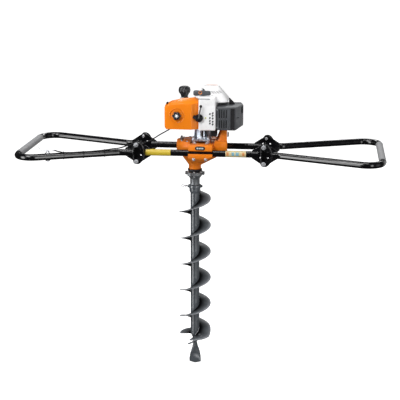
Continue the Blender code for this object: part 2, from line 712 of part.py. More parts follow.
def plate_section(degrees, height, rim_height, outer, thickness):
    """A cut through a plate of the bit at an angle: its four corners, from the core tube out to a radius."""
    turn = math.radians(degrees)
    inner = 0.001 + (CORE_R if height < -0.190 else SOCKET_OUTER_R)
    corners = (
        (inner, height + thickness / 2), (outer, rim_height + thickness / 3),
        (outer, rim_height - thickness / 3), (inner, height - thickness / 2),
    )
    return [(radius * math.cos(turn), radius * math.sin(turn), z) for radius, z in corners]


def helix_z(degrees):
    return FLIGHT_Z + FLIGHT_PITCH * degrees / 360


def build_flights():
    steps = round((FLIGHT_TOP_DEG - FLIGHT_BOTTOM_DEG) / 22.5)
    sections = []
    for i in range(steps + 1):
        degrees = FLIGHT_TOP_DEG + (FLIGHT_BOTTOM_DEG - FLIGHT_TOP_DEG) * i / steps
        outer = BIT_R - 0.020 * max(0.0, 1 - i / 3)
        sections.append(plate_section(degrees, helix_z(degrees), helix_z(degrees), outer, 0.004))
    loft("bit_flight", sections, BIT_PAINT)
    sections = []
    for past, drop in BLADE_RIM:
        height = helix_z(FIFTH_TURN + past)
        sections.append(plate_section(past, height, height - drop, BIT_R, 0.0045))
    loft("cutting_blade", sections, BIT_PAINT)
    sections = [
        plate_section(degrees, COUNTER_Z, COUNTER_Z, 0.066, 0.0045) for degrees in range(192, 109, -10)
    ]
    loft("counter_blade", sections, BIT_PAINT)


def build_bit():
    shaft = turned(
        "bit_shaft",
        [(SOCKET_R, COUPLING_Z - GAP), (0.027, COUPLING_Z - GAP), (0.027, -0.164), (SOCKET_OUTER_R, -0.165),
         (SOCKET_OUTER_R, -0.179), (CORE_R, -0.187), (CORE_R, -0.812), (0.014, -0.826), (0.008, -0.838),
         (0, -0.838), (0, -0.195), (SOCKET_R, -0.195)],
        BIT_PAINT, steps=16,
    )
    lug = box("pin_lug", (-0.0305, -0.007, PIN_Z - 0.0055), (0.0305, 0.007, PIN_Z + 0.0045))
    keep = rod("lug_bore", (0, 0, -0.19), (0, 0, -0.14), SOCKET_R + GAP, sides=14)
    pin_hole = rod("bit_pin_hole", (-0.1, 0, PIN_Z), (0.1, 0, PIN_Z), PIN_R + GAP, sides=16)
    join(shaft, bevel(lug, 0.0015))
    cut(shaft, keep, pin_hole)

    pin = rod("coupling_pin", (-0.048, 0, PIN_Z), (0.034, 0, PIN_Z), PIN_R, ZINC, sides=12)
    eye = turned(
        "pin_eye", [(0.0035, 0.0016), (0.007, 0.0016), (0.007, -0.0016), (0.0035, -0.0016)],
        at=(-0.0535, 0, PIN_Z), axis="Y", steps=16,
    )
    join(pin, eye)

    build_flights()
    build_pilot()


def build_pilot():
    """The twisted fishtail under the bit, with a short cross blade through its neck."""
    widths = (
        (-0.8385, 0.0065, 0.0065), (-0.850, 0.0075, 0.0075), (-0.862, 0.0105, 0.0080),
        (-0.878, 0.0158, 0.007), (-0.894, 0.0202, 0.006), (-0.910, 0.0232, 0.005),
        (-0.926, 0.0248, 0.0045), (-0.942, 0.0252, 0.0040),
    )
    top_z, foot_z = widths[0][0], widths[-1][0]
    sections = []
    for z, half, thick in widths:
        turn = math.radians(75 * (z - foot_z) / (top_z - foot_z))
        corners = [(-half, 0.0), (-half * 0.55, -thick), (0.0, -thick * 1.1), (half * 0.55, -thick),
                   (half, 0.0), (half * 0.55, thick), (0.0, thick * 1.1), (-half * 0.55, thick)]
        sections.append([
            (x * math.cos(turn) - y * math.sin(turn), x * math.sin(turn) + y * math.cos(turn), z)
            for x, y in corners
        ])
    last = widths[-1][1]
    point = [(-last * 0.98, -0.946), (-last * 0.55, -0.949), (0.0, TIP_Z), (last * 0.55, -0.949),
             (last * 0.98, -0.946), (last * 0.55, -0.949), (0.0, TIP_Z), (-last * 0.55, -0.949)]
    depths = (0.0, -0.0014, -0.0016, -0.0014, 0.0, 0.0014, 0.0016, 0.0014)
    sections.append([(x, y, z) for (x, z), y in zip(point, depths)])
    pilot = loft("pilot_tip", sections, BIT_PAINT)
    cross = box("pilot_cross", (-0.046, -0.006, -0.0022), (0.033, 0.006, 0.0022))
    lean = Matrix.Rotation(math.radians(58), 4, "Z") @ Matrix.Rotation(math.radians(-20), 4, "X")
    cross.matrix_world = Matrix.Translation((0, 0, -0.852)) @ lean
    join(pilot, cross)


# --- clutch, crankshaft and engine ---

FIN_R = 0.036
GROOVE_R = 0.0155
ROPE_R = 0.0018


def build_clutch():
    """The aluminium bell on four feet, with the clutch drum that drives the gearbox inside it."""
    bell = turned(
        "clutch_housing",
        [(0, 0.0905), (0.030, 0.0905), (0.0345, 0.052), (0.0355, 0.045), (0, 0.045)],
        CAST_ALUMINIUM, (CRANK_X, 0, 0),
    )
    flange = box("bell_flange", (-0.0088, -0.0385, 0.0405), (0.0665, 0.0385, 0.0505))
    bore = rod("bell_bore", (CRANK_X, 0, 0.03), (CRANK_X, 0, 0.07), 0.0055)
    drum_room = rod("drum_room", (CRANK_X, 0, 0.0535), (CRANK_X, 0, 0.10), 0.0265)
    join(bell, bevel(flange, 0.004))
    cut(bell, bore, drum_room)
    for i, (x, y) in enumerate(((-0.002, -0.032), (0.0595, -0.032), (0.0595, 0.032), (-0.002, 0.032))):
        join(bell, rod(f"foot_{i}", (x, y, 0.0322), (x, y, 0.0545), 0.0065, sides=8))
    for i in range(5):
        turn = Matrix.Translation((CRANK_X, 0, 0)) @ Matrix.Rotation(math.radians(72 * i + 16), 4, "Z")
        window = box(f"bell_window_{i}", (0.018, -0.0065, 0.0575), (0.045, 0.0065, 0.084))
        window.matrix_world = turn
        cut(bell, window)

    turned(
        "clutch_drum",
        [(0.0228, 0.082), (0.0250, 0.082), (0.0250, 0.0575), (0.0, 0.0575), (0.0, 0.0605), (0.0228, 0.0605)],
        STEEL, (CRANK_X, 0, 0),
    )
    hub = rod("clutch_hub", (CRANK_X, 0, 0.0625), (CRANK_X, 0, 0.079), 0.0212, STEEL)
    for i in range(3):
        turn = Matrix.Translation((CRANK_X, 0, 0)) @ Matrix.Rotation(math.radians(120 * i), 4, "Z")
        split = box(f"shoe_split_{i}", (0.010, -0.001, 0.05), (0.03, 0.001, 0.09))
        split.matrix_world = turn
        cut(hub, split)
    cut(hub, rod("hub_bore", (CRANK_X, 0, 0.05), (CRANK_X, 0, 0.09), 0.0075 + GAP))


def build_crank_and_cylinder():
    webs = ((0.110, 0.120), (0.132, 0.142))
    shaft = rod("crankshaft", (CRANK_X, 0, 0.0625), (CRANK_X, 0, 0.1985), 0.0075, STEEL)
    for i, (low, high) in enumerate(webs):
        join(shaft, rod(f"crank_web_{i}", (CRANK_X, 0, low), (CRANK_X, 0, high), 0.026))
    journal_room = rod("journal_room", (CRANK_X, 0, webs[0][1]), (CRANK_X, 0, webs[1][0]), 0.0085)
    pin_y = 0.016
    journal = rod("crank_pin", (CRANK_X, pin_y, 0.119), (CRANK_X, pin_y, 0.133), 0.007)
    cut(shaft, journal_room)
    join(shaft, journal)

    low, high = (CRANK_X - 0.040, -0.041, 0.0912), (CRANK_X + 0.040, 0.034, 0.158)
    case = box("crankcase", low, high, CAST_ALUMINIUM)
    bevel(case, 0.005)
    cut(
        case,
        rod("web_room", (CRANK_X, 0, 0.106), (CRANK_X, 0, 0.146), 0.029, sides=32),
        rod("main_bore", (CRANK_X, 0, 0.08), (CRANK_X, 0, 0.17), 0.0085),
        rod("piston_bore", (CRANK_X, 0.02, 0.126), (CRANK_X, 0.05, 0.126), 0.0225),
    )

    bore_r, core_r, base_y, head_y = 0.0225, 0.029, 0.0345, 0.108
    profile = [(0, head_y), (0.020, head_y), (0.028, head_y - 0.006)]
    fins = 4
    for i in range(fins):
        y = head_y - 0.010 - 0.0145 * i
        profile += [(core_r, y + 0.002), (FIN_R, y + 0.0012), (FIN_R, y - 0.0012), (core_r, y - 0.002)]
    profile += [(core_r, base_y + 0.005), (0.033, base_y + 0.004), (0.033, base_y), (bore_r, base_y),
                (bore_r, head_y - 0.014), (0, head_y - 0.010)]
    cylinder = turned("cylinder", profile, CAST_ALUMINIUM, (CRANK_X, 0, 0.126), "Y", 16)
    cut(cylinder, rod("plug_hole", (CRANK_X, 0.08, 0.126), (CRANK_X, 0.12, 0.126), 0.0055 + GAP))
    turned(
        "spark_plug",
        [(0, 0.138), (0.003, 0.138), (0.003, 0.133), (0.005, 0.131), (0.005, 0.118), (0.0095, 0.117),
         (0.0095, head_y + GAP), (0.0055, head_y + GAP), (0.0055, 0.100), (0, 0.100)],
        ZINC, (CRANK_X, 0, 0.126), "Y", 12,
    )
    build_flywheel()


def build_flywheel():
    """The flywheel, with cooling vanes on its rim, and the rope pulley above it."""
    wheel = turned(
        "flywheel",
        [(0.0078, 0.176), (0.040, 0.176), (0.040, 0.166), (0.0078, 0.164)],
        CAST_ALUMINIUM, (CRANK_X, 0, 0),
    )
    for i in range(8):
        turn = Matrix.Translation((CRANK_X, 0, 0)) @ Matrix.Rotation(math.radians(45 * i), 4, "Z")
        vane = box(f"vane_{i}", (0.020, -0.0012, 0.170), (0.039, 0.0012, 0.190))
        vane.matrix_world = turn @ Matrix.Rotation(math.radians(18), 4, "Z")
        join(wheel, vane)
    turned(
        "starter_pulley",
        [(0.0043, 0.2245), (0.0185, 0.2245), (0.0185, 0.2230), (GROOVE_R, 0.2220), (GROOVE_R, 0.2140),
         (0.0185, 0.2130), (0.0185, 0.2115), (0.0043, 0.2115)],
        BLACK_PLASTIC, (CRANK_X, 0, 0),
    )


# --- covers, filter, tank and muffler ---

GRIP_X, GRIP_Y, GRIP_Z = 0.036, -0.068, 0.2465
CAP_X, CAP_Y = -0.0455, 0.022
KNOB_X, KNOB_Z = -0.062, 0.157
CHOKE_X, CHOKE_Z = 0.028, 0.148
SHELL_T = 0.003


def shroud_outline(inset=0.0):
    """The white engine cover seen from above, stepped round the air filter box."""
    return [
        (0.0245 + inset, -0.090 + inset), (0.0945 - inset, -0.090 + inset), (0.0945 - inset, 0.128 - inset),
        (-0.018 + inset, 0.128 - inset), (-0.018 + inset, -0.046 + inset), (0.0245 + inset, -0.046 + inset),
    ]


def build_shroud():
    height = SHROUD_TOP_Z - ENGINE_FLOOR_Z
    middle_z = (SHROUD_TOP_Z + ENGINE_FLOOR_Z) / 2
    shroud = extruded("engine_shroud", shroud_outline(), height, WHITE_PLASTIC, (0, 0, middle_z), "Z")
    bevel(shroud, 0.005, angle=60)
    room = extruded("shroud_room", shroud_outline(SHELL_T), height, None, (0, 0, middle_z - SHELL_T), "Z")
    cut(
        shroud, room,
        rod("fan_inlet", (CRANK_X, 0, 0.19), (CRANK_X, 0, 0.22), 0.030, sides=32),
        box("carburettor_gap", (-0.03, -0.036, 0.08), (0.0, 0.002, 0.158)),
        box("exhaust_gap", (0.08, 0.030, 0.114), (0.11, 0.051, 0.138)),
        rod("choke_hole", (CHOKE_X, -0.10, CHOKE_Z), (CHOKE_X, -0.08, CHOKE_Z), 0.0034, sides=12),
        rod("plug_gap", (CRANK_X, 0.11, 0.126), (CRANK_X, 0.14, 0.126), 0.018),
    )
    for i in range(5):
        z = 0.106 + 0.017 * i
        slot = box(f"shroud_slot_{i}", (0.08, 0.074, z), (0.11, 0.116, z + 0.006))
        cut(shroud, slot)


def cover_points(inset=0.0):
    """The starter cover's dome: a wide foot on the engine cover, narrowing to a flat top."""
    foot_z = SHROUD_TOP_Z + GAP
    foot = rounded_rectangle((0.000 + inset, -0.046 + inset), (0.139 - inset, 0.100 - inset), 0.028, 3)
    waist = rounded_rectangle((0.001 + inset, -0.044 + inset), (0.135 - inset, 0.096 - inset), 0.028, 3)
    top = rounded_rectangle((0.036 + inset, -0.012 + inset), (0.098 - inset, 0.054 - inset), 0.022, 3)
    lift = -0.002 if inset else 0.0
    return (
        at_height(foot, foot_z + lift) + at_height(waist, 0.213 - inset / 2)
        + at_height(top, 0.2655 - inset)
    )


def build_starter():
    cover = hull("starter_cover", cover_points(), WHITE_PLASTIC)
    deck = extruded(
        "starter_deck", rounded_rectangle((0.0245, -0.0885), (0.094, 0.020), 0.012), 0.029, None,
        (0, 0, SHROUD_TOP_Z + GAP + 0.0145), "Z",
    )
    join(cover, bevel(deck, 0.006))
    cut(
        cover, hull("cover_room", cover_points(SHELL_T)),
        box("deck_room", (0.0285, -0.084, 0.200), (0.090, -0.030, 0.229)),
        rod("rope_exit", (GRIP_X, -0.10, GRIP_Z), (GRIP_X, 0.0, GRIP_Z), 0.0032),
    )
    join(cover, rod("pulley_post", (CRANK_X, 0, 0.2150), (CRANK_X, 0, 0.2570), 0.004, sides=12))

    grip = box("starter_grip", (GRIP_X - 0.034, GRIP_Y - 0.009, GRIP_Z - 0.0115),
               (GRIP_X + 0.036, GRIP_Y + 0.009, GRIP_Z + 0.0115), BLACK_PLASTIC)
    bevel(grip, 0.007, 3)
    middle, end = (GRIP_X, GRIP_Y, GRIP_Z), (GRIP_X, GRIP_Y + 0.016, GRIP_Z)
    neck = rod("grip_neck", middle, end, 0.006, end_radius=0.004)
    join(grip, neck)
    tangent = (CRANK_X + GROOVE_R + ROPE_R + 0.002, -0.001, 0.218)
    rope = [
        (GRIP_X, GRIP_Y + 0.0163, GRIP_Z), (GRIP_X, -0.0135, GRIP_Z), (0.0535, -0.012, 0.2185), tangent,
    ]
    pipe("starter_rope", rope, ROPE_R, FOAM, sides=8)


def cover_box(name, inset=0.0, look=None):
    """The air filter cover: a flat front, a slanted band on its right and a top that rises to the right."""
    left, low = -0.1145 + inset, 0.100 + inset
    front_y, rear_y = -0.100 + inset, -0.0495 + (0.01 if inset else 0.0)
    front = [(left + 0.008, low), (-0.003, low - 0.0005), (-0.003, 0.205 - inset), (-0.040, 0.206 - inset),
             (-0.088, 0.204 - inset), (left + 0.002, 0.192 - inset), (left + 0.002, low + 0.008)]
    right = 0.0235 - inset
    rear = [(left + 0.006, low), (right, low - 0.001), (right, 0.221 - inset), (0.012, 0.229 - inset),
            (-0.040, 0.223 - inset), (-0.088, 0.212 - inset), (left, 0.198 - inset), (left, low + 0.008)]
    points = [(x, front_y, z) for x, z in front] + [(x, rear_y, z) for x, z in rear]
    points += [(right, -0.078, low - 0.001), (right, -0.078, 0.215 - inset)]
    points += [(left, -0.090, 0.190 - inset), (left, -0.090, low + 0.008)]
    return hull(name, points, look)


def build_filter():
    front_y = -0.100
    cover = cover_box("filter_cover", look=ORANGE_PLASTIC)
    bevel(cover, 0.006, 1, angle=15)
    room = cover_box("filter_room", SHELL_T)
    stud_hole = rod("stud_hole", (KNOB_X, -0.12, KNOB_Z), (KNOB_X, -0.08, KNOB_Z), 0.004)
    cut(cover, room, stud_hole)
    for i, radius in enumerate((0.021, 0.029)):
        ring = turned(
            f"cover_ring_{i}", [(radius, 0.001), (radius + 0.0015, 0.001), (radius + 0.0015, -0.001),
                                (radius, -0.001)],
            at=(KNOB_X, front_y, KNOB_Z), axis="Y",
        )
        join(cover, ring)
    grommet = box("cover_grommet", (-0.1135, -0.078, 0.2018), (-0.101, -0.062, 0.2135), BLACK_PLASTIC)
    bevel(grommet, 0.003)
    cut(grommet, cover_box("grommet_seat", -GAP))

    star = [
        (0.0135 + 0.0025 * math.cos(6 * t)) * Vector((math.cos(t), math.sin(t)))
        for t in (2 * math.pi * i / 30 for i in range(30))
    ]
    knob = extruded(
        "filter_knob", [tuple(p) for p in star], 0.012, BLACK_PLASTIC, (KNOB_X, -0.1078, KNOB_Z), "Y"
    )
    bevel(knob, 0.0015, 1)
    stud = rod("knob_stud", (KNOB_X, -0.11, KNOB_Z), (KNOB_X, -0.0895, KNOB_Z), 0.0032, sides=16)
    button = rod("knob_button", (KNOB_X, -0.1155, KNOB_Z), (KNOB_X, -0.110, KNOB_Z), 0.0055, sides=16)
    join(knob, stud, button)

    filter_box = box("air_filter", (-0.098, -0.086, 0.112), (-0.034, -0.058, 0.190), FOAM)
    bevel(filter_box, 0.006)
    body = box("carburettor", (-0.052, -0.033, 0.110), (-0.0098, -0.003, 0.150), CAST_ALUMINIUM)
    horn = rod("intake_horn", (-0.044, -0.020, 0.130), (-0.044, -0.0575, 0.130), 0.012)
    join(body, bevel(horn, 0.001))

    disc = rod("choke_lever", (CHOKE_X, -0.1015, CHOKE_Z), (CHOKE_X, -0.091, CHOKE_Z), 0.0165, BLACK_PLASTIC)
    top = (0.036, 0.197)
    arm = rod("choke_arm", (CHOKE_X, -0.1035, CHOKE_Z), (top[0], -0.1035, top[1]), 0.0042, end_radius=0.0026,
              sides=12)
    ball = bmesh.new()
    bmesh.ops.create_uvsphere(ball, u_segments=12, v_segments=8, radius=0.0062)
    bmesh.ops.translate(ball, vec=(top[0], -0.1035, top[1]), verts=ball.verts)
    shaft = rod("choke_shaft", (CHOKE_X, -0.095, CHOKE_Z), (CHOKE_X, -0.0835, CHOKE_Z), 0.003, sides=12)
    join(disc, arm, shaft, place("choke_ball", mesh_of(ball, "choke_ball"), None))


def build_tank():
    tank = box("fuel_tank", (-0.094, 0.000, 0.082), (-0.0195, 0.094, 0.148), TANK_PLASTIC)
    bevel(tank, 0.010, 2)
    shoulder = box("tank_shoulder", (-0.0715, 0.000, 0.120), (-0.0195, 0.044, 0.196))
    neck = rod("tank_neck", (CAP_X, CAP_Y, 0.19), (CAP_X, CAP_Y, 0.2145), 0.019)
    fuel = box("fuel_room", (-0.0915, 0.0025, 0.0845), (-0.022, 0.0915, 0.1455))
    upper = box("fuel_upper_room", (-0.069, 0.0025, 0.130), (-0.022, 0.0415, 0.1935))
    mouth = rod("tank_mouth", (CAP_X, CAP_Y, 0.18), (CAP_X, CAP_Y, 0.23), 0.0158, sides=16)
    join(tank, bevel(shoulder, 0.008), neck)
    cut(tank, bevel(fuel, 0.008), bevel(upper, 0.006), mouth)
    cap = turned(
        "fuel_cap",
        [(0, 0.2620), (0.018, 0.2620), (0.0235, 0.2580), (0.0245, 0.248), (0.0235, 0.238), (0.018, 0.228),
         (0.0165, 0.2148), (0.0150, 0.2148), (0.0150, 0.206), (0, 0.206)],
        BLACK_PLASTIC, (CAP_X, CAP_Y, 0),
    )
    for i in range(6):
        turn = math.radians(60 * i + 22.5)
        x, y = CAP_X + 0.0275 * math.cos(turn), CAP_Y + 0.0275 * math.sin(turn)
        cut(cap, rod(f"cap_flute_{i}", (x, y, 0.225), (x, y, 0.27), 0.0055, sides=10))


def guard_outline(inset=0.0):
    """The muffler guard seen from above, its right side slanting back."""
    return [
        (0.0965 + inset, -0.080 + inset), (0.175 - inset, -0.080 + inset), (0.201 - inset, 0.008),
        (0.190 - inset, 0.062 - inset), (0.0965 + inset, 0.062 - inset),
    ]


def build_muffler():
    low, high = 0.0955, 0.192
    middle = (0, 0, (low + high) / 2)
    guard = extruded("muffler_guard", guard_outline(), high - low, BLACK_PLASTIC, middle, "Z")
    bevel(guard, 0.005)
    room = extruded(
        "guard_room", guard_outline(SHELL_T), high - low, None, (-0.006, 0, (low + high) / 2), "Z"
    )
    limits = box("guard_room_limit", (0.08, -0.1, low + SHELL_T), (0.22, 0.1, high - SHELL_T))
    boolean(room, limits, "INTERSECT")
    cut(guard, room)
    for row, (z0, z1) in enumerate(((0.104, 0.138), (0.146, 0.180))):
        for i in range(4):
            x = 0.108 + 0.0092 * i
            cut(guard, box(f"guard_slot_{row}_{i}", (x, -0.09, z0), (x + 0.0045, -0.07, z1)))
    strap = extruded(
        "guard_strap",
        [(0.1425, 0.187), (0.166, 0.187), (0.166, 0.197), (0.148, 0.215), (0.1425, 0.2205)],
        0.012, None, (0, 0, 0), "Y",
    )
    join(guard, strap)
    muffler = box("muffler", (0.108, -0.068, 0.106), (0.166, 0.050, 0.182), STEEL)
    bevel(muffler, 0.008)
    start_x = CRANK_X + 0.0405
    join(muffler, rod("exhaust_stub", (start_x, 0.0405, 0.126), (0.112, 0.0405, 0.126), 0.0075, sides=16))


# A point on each joint's axis, and the pieces that move about it.
JOINT_AXES = {
    "left_handle_fold": ((LEFT_HINGE, 0, BOLT_Z), (
        "left_handle_tube", "left_grip_sleeve", "hinge_cup_left_front", "hinge_cup_left_rear",
        "throttle_bracket", "throttle_cable_handle",
    )),
    "right_handle_fold": ((RIGHT_HINGE, 0, BOLT_Z), (
        "right_handle_tube", "right_grip_sleeve", "hinge_cup_right_front", "hinge_cup_right_rear",
    )),
    "throttle_squeeze": ((LEVER_X, handle_y(LEVER_X), LEVER_PIN_Z), ("throttle_lever",)),
    "input_spin": ((CRANK_X, 0, 0.030), ("input_shaft", "clutch_drum")),
    "layshaft_spin": ((LAYSHAFT_X, 0, 0), ("layshaft",)),
    "spindle_spin": ((0, 0, -0.100), (
        "output_gear", "output_spindle", "bit_shaft", "bit_flight", "counter_blade", "cutting_blade",
        "pilot_tip",
    )),
    "coupling_pin_pull": ((0, 0, PIN_Z), ("coupling_pin",)),
    "crank_spin": ((CRANK_X, 0, 0.150), ("crankshaft", "clutch_hub", "flywheel")),
    "starter_pulley_spin": ((CRANK_X, 0, 0.218), ("starter_pulley",)),
    "starter_pull": ((GRIP_X, GRIP_Y, GRIP_Z), ("starter_grip", "starter_rope")),
    "choke_turn": ((CHOKE_X, -0.096, CHOKE_Z), ("choke_lever",)),
    "filter_knob_turn": ((KNOB_X, -0.1078, KNOB_Z), ("filter_knob",)),
    "fuel_cap_turn": ((CAP_X, CAP_Y, 0.240), ("fuel_cap",)),
}


def hang_on_axes():
    """Parents each moving piece to an empty on its joint's axis."""
    for name, (point, pieces) in JOINT_AXES.items():
        pivot = bpy.data.objects.new(name, None)
        PARTS.objects.link(pivot)
        pivot.location = point
        for piece in pieces:
            moved = bpy.data.objects[piece]
            moved.parent = pivot
            moved.matrix_parent_inverse = Matrix.Translation(point).inverted()


build_frame()
build_throttle()
build_gears()
build_gearbox()
build_spindle()
build_bit()
build_clutch()
build_crank_and_cylinder()
build_shroud()
build_starter()
build_filter()
build_tank()
build_muffler()
hang_on_axes()
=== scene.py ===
"""The looks of a two-operator earth auger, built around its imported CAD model.

Metres, +Z up, in the row frame: the origin is on the drilling axis in the plane of the frame tubes,
+X runs along the frame to the right-hand operator and -Y faces the side with the air filter knob.
"""

import math

import bmesh
import bpy
from mathutils import Matrix, Quaternion, Vector


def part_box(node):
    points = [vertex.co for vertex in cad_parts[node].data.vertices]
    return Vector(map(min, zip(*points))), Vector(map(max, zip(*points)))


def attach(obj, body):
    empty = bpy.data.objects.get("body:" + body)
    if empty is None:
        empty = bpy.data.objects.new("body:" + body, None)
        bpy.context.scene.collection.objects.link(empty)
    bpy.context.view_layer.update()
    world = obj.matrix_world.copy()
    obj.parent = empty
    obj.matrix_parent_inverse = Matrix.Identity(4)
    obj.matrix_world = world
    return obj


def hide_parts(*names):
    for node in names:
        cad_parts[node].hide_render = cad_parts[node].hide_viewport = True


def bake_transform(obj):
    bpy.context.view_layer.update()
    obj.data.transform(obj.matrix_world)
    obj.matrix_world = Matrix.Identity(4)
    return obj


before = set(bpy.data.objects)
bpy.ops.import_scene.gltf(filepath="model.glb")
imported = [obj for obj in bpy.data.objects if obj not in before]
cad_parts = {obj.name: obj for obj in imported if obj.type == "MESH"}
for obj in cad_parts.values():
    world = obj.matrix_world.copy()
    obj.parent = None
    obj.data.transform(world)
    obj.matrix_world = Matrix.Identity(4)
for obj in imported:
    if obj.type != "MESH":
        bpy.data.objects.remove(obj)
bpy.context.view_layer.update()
SCENE = bpy.context.scene

# --- camera and stage ---

FLOOR_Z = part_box("pilot_tip")[0].z - 0.0005
FLOOR_RINGS = ((0.02, 0), (2.5, 0), (8, 0), (14, 0.3), (18, 1.6), (20.5, 4))  # radius, height
SENSOR_MM, LENS_MM, CLIP_END = 36, 103.573, 60
CAMERA_AT, CAMERA_DOWN, CAMERA_TURN = (0.54992, -4.69086, 0.94764), 13.88, 6.428
SOFT_SKY, MIRRORED_SKY, FLOOR_GLOW = 0.42, 0.045, 0.7
WHITE = (1, 1, 1, 1)


def new_object(name, data):
    made = bpy.data.objects.new(name, data)
    SCENE.collection.objects.link(made)
    return made


def mesh_of(shape, name):
    """A mesh of a bmesh, which it frees."""
    mesh = bpy.data.meshes.new(name)
    shape.to_mesh(mesh)
    shape.free()
    return mesh


def set_inputs(shader, **values):
    """Sets a shader's sockets, each named with _ for a space."""
    for socket, value in values.items():
        shader.inputs[socket.replace("_", " ")].default_value = value


def build_camera():
    data = bpy.data.cameras.new("camera")
    data.sensor_width, data.lens, data.clip_end = SENSOR_MM, LENS_MM, CLIP_END
    camera = new_object("camera", data)
    camera.location = CAMERA_AT
    camera.rotation_euler = (math.radians(90 - CAMERA_DOWN), 0, math.radians(CAMERA_TURN))
    SCENE.camera = camera


def turns(steps):
    return [math.tau * i / steps for i in range(steps)]


def around(radius, turn, height):
    """A point at a radius and a turn about Z."""
    return (radius * math.cos(turn), radius * math.sin(turn), height)


def build_stage():
    """A pale floor that curves up into a wall all round, so that it has no edge in any view."""
    shape = bmesh.new()
    rings = [
        [shape.verts.new(around(radius, t, FLOOR_Z + height)) for t in turns(96)]
        for radius, height in FLOOR_RINGS
    ]
    for low, high in zip(rings, rings[1:]):
        for i in range(len(low)):
            shape.faces.new((low[i], low[i - 1], high[i - 1], high[i]))
    shape.faces.new(rings[0])
    mesh = mesh_of(shape, "floor")
    mesh.shade_smooth()
    floor = new_object("floor", mesh)
    look = bpy.data.materials.new("floor")
    look.use_nodes = True
    set_inputs(look.node_tree.nodes["Principled BSDF"], Base_Color=(0.8, 0.8, 0.8, 1), Roughness=0.9,
               Specular_IOR_Level=0.1, Emission_Color=WHITE, Emission_Strength=FLOOR_GLOW)
    mesh.materials.append(look)
    floor.visible_glossy = False
    floor.visible_diffuse = False


def area_light(name, place, target, size, power, glossy=True):
    data = bpy.data.lights.new(name, "AREA")
    data.shape = "RECTANGLE"
    data.size, data.size_y = size
    data.energy = power
    lamp = new_object(name, data)
    lamp.location = place
    lamp.visible_camera = False
    lamp.visible_glossy = glossy
    lamp.rotation_euler = (Vector(target) - Vector(place)).to_track_quat("-Z", "Y").to_euler()


# --- shader nodes and light ---


def node(tree, kind, wires=None, **settings):
    """A shader node with these settings, its inputs wired to sockets or set to values."""
    made = tree.nodes.new("ShaderNode" + kind)
    for key, value in settings.items():
        setattr(made, key, value)
    for socket, value in (wires or {}).items():
        if isinstance(value, bpy.types.NodeSocket):
            tree.links.new(value, made.inputs[socket])
        else:
            made.inputs[socket].default_value = value
    return made


def computed(tree, operation, *values):
    return node(tree, "Math", dict(enumerate(values)), operation=operation).outputs[0]


def vector(tree, operation, *values):
    """A vector operation's result, which is a number for a dot product or a length."""
    made = node(tree, "VectorMath", dict(enumerate(values)), operation=operation)
    return made.outputs["Value" if operation in ("DOT_PRODUCT", "LENGTH") else "Vector"]


def spread(tree, source, low, high, to_low=0.0, to_high=1.0):
    """The source's values from low to high, spread over to_low to to_high."""
    wires = {"Value": source, "From Min": low, "From Max": high, "To Min": to_low, "To Max": to_high}
    return node(tree, "MapRange", wires).outputs["Result"]


# Azimuth, core and edge in degrees, then strength.
MIRRORED_BANDS = ((-143, 6, 16, 8.5), (-60, 3, 9, 5.5), (-20, 6, 18, 0.8), (50, 10, 25, 0.8))
BAND_TOP, BAND_FOOT = (0.52, 0.28), (-0.62, -0.38)  # heights where a band fades, on a unit sphere


def mirrored_studio(tree):
    """The strength that gloss mirrors: a dark studio with tall soft boxes."""
    towards = node(tree, "TexCoord").outputs["Generated"]
    level = vector(tree, "NORMALIZE", vector(tree, "MULTIPLY", towards, (1, 1, 0)))
    height = node(tree, "SeparateXYZ", {0: towards}).outputs["Z"]
    above, below = spread(tree, height, *BAND_TOP), spread(tree, height, *BAND_FOOT)
    window = computed(tree, "MULTIPLY", above, below)
    total = 0.0
    for azimuth, core, edge, strength in MIRRORED_BANDS:
        dot = vector(tree, "DOT_PRODUCT", level, around(1, math.radians(azimuth), 0))
        limits = math.cos(math.radians(edge)), math.cos(math.radians(core))
        total = computed(tree, "ADD", total, spread(tree, dot, *limits, 0.0, strength))
    return computed(tree, "MULTIPLY_ADD", total, window, MIRRORED_SKY)


def build_lights():
    """Soft boxes in a studio that is white behind the object and dark where its gloss would mirror it."""
    world = bpy.data.worlds.new("studio")
    SCENE.world = world
    world.use_nodes = True
    tree = world.node_tree
    seen = tree.nodes["Background"]
    set_inputs(seen, Color=WHITE, Strength=1.0)
    mirrored = node(tree, "Background", {"Color": WHITE, "Strength": mirrored_studio(tree)})
    soft = node(tree, "Background", {"Color": WHITE, "Strength": SOFT_SKY})
    ray = node(tree, "LightPath").outputs
    first = node(tree, "MixShader", {0: ray["Is Glossy Ray"], 1: soft.outputs[0], 2: mirrored.outputs[0]})
    second = node(tree, "MixShader", {0: ray["Is Camera Ray"], 1: first.outputs[0], 2: seen.outputs[0]})
    tree.links.new(second.outputs[0], tree.nodes["World Output"].inputs["Surface"])
    middle, low = (0.03, 0, 0), (0, 0, -0.1)
    area_light("key", (-2.0, -3.6, 2.9), middle, (1.6, 1.8), 120)
    area_light("strip", (-0.5, -0.9, 3.4), middle, (4.0, 0.5), 75)
    area_light("left_strip", (-3.0, -2.2, -0.1), low, (0.6, 2.6), 26, glossy=False)
    area_light("right_strip", (3.5, -1.4, -0.1), low, (0.8, 2.6), 40, glossy=False)
    area_light("back", (0.4, 4.0, 2.6), middle, (3.4, 1.0), 60)
    SCENE.view_settings.view_transform = "Standard"


# --- materials ---

COAT_ROUGHNESS = 0.08
SLOT_OF = {}  # a material's name: the CAD slot of the pieces that wear it


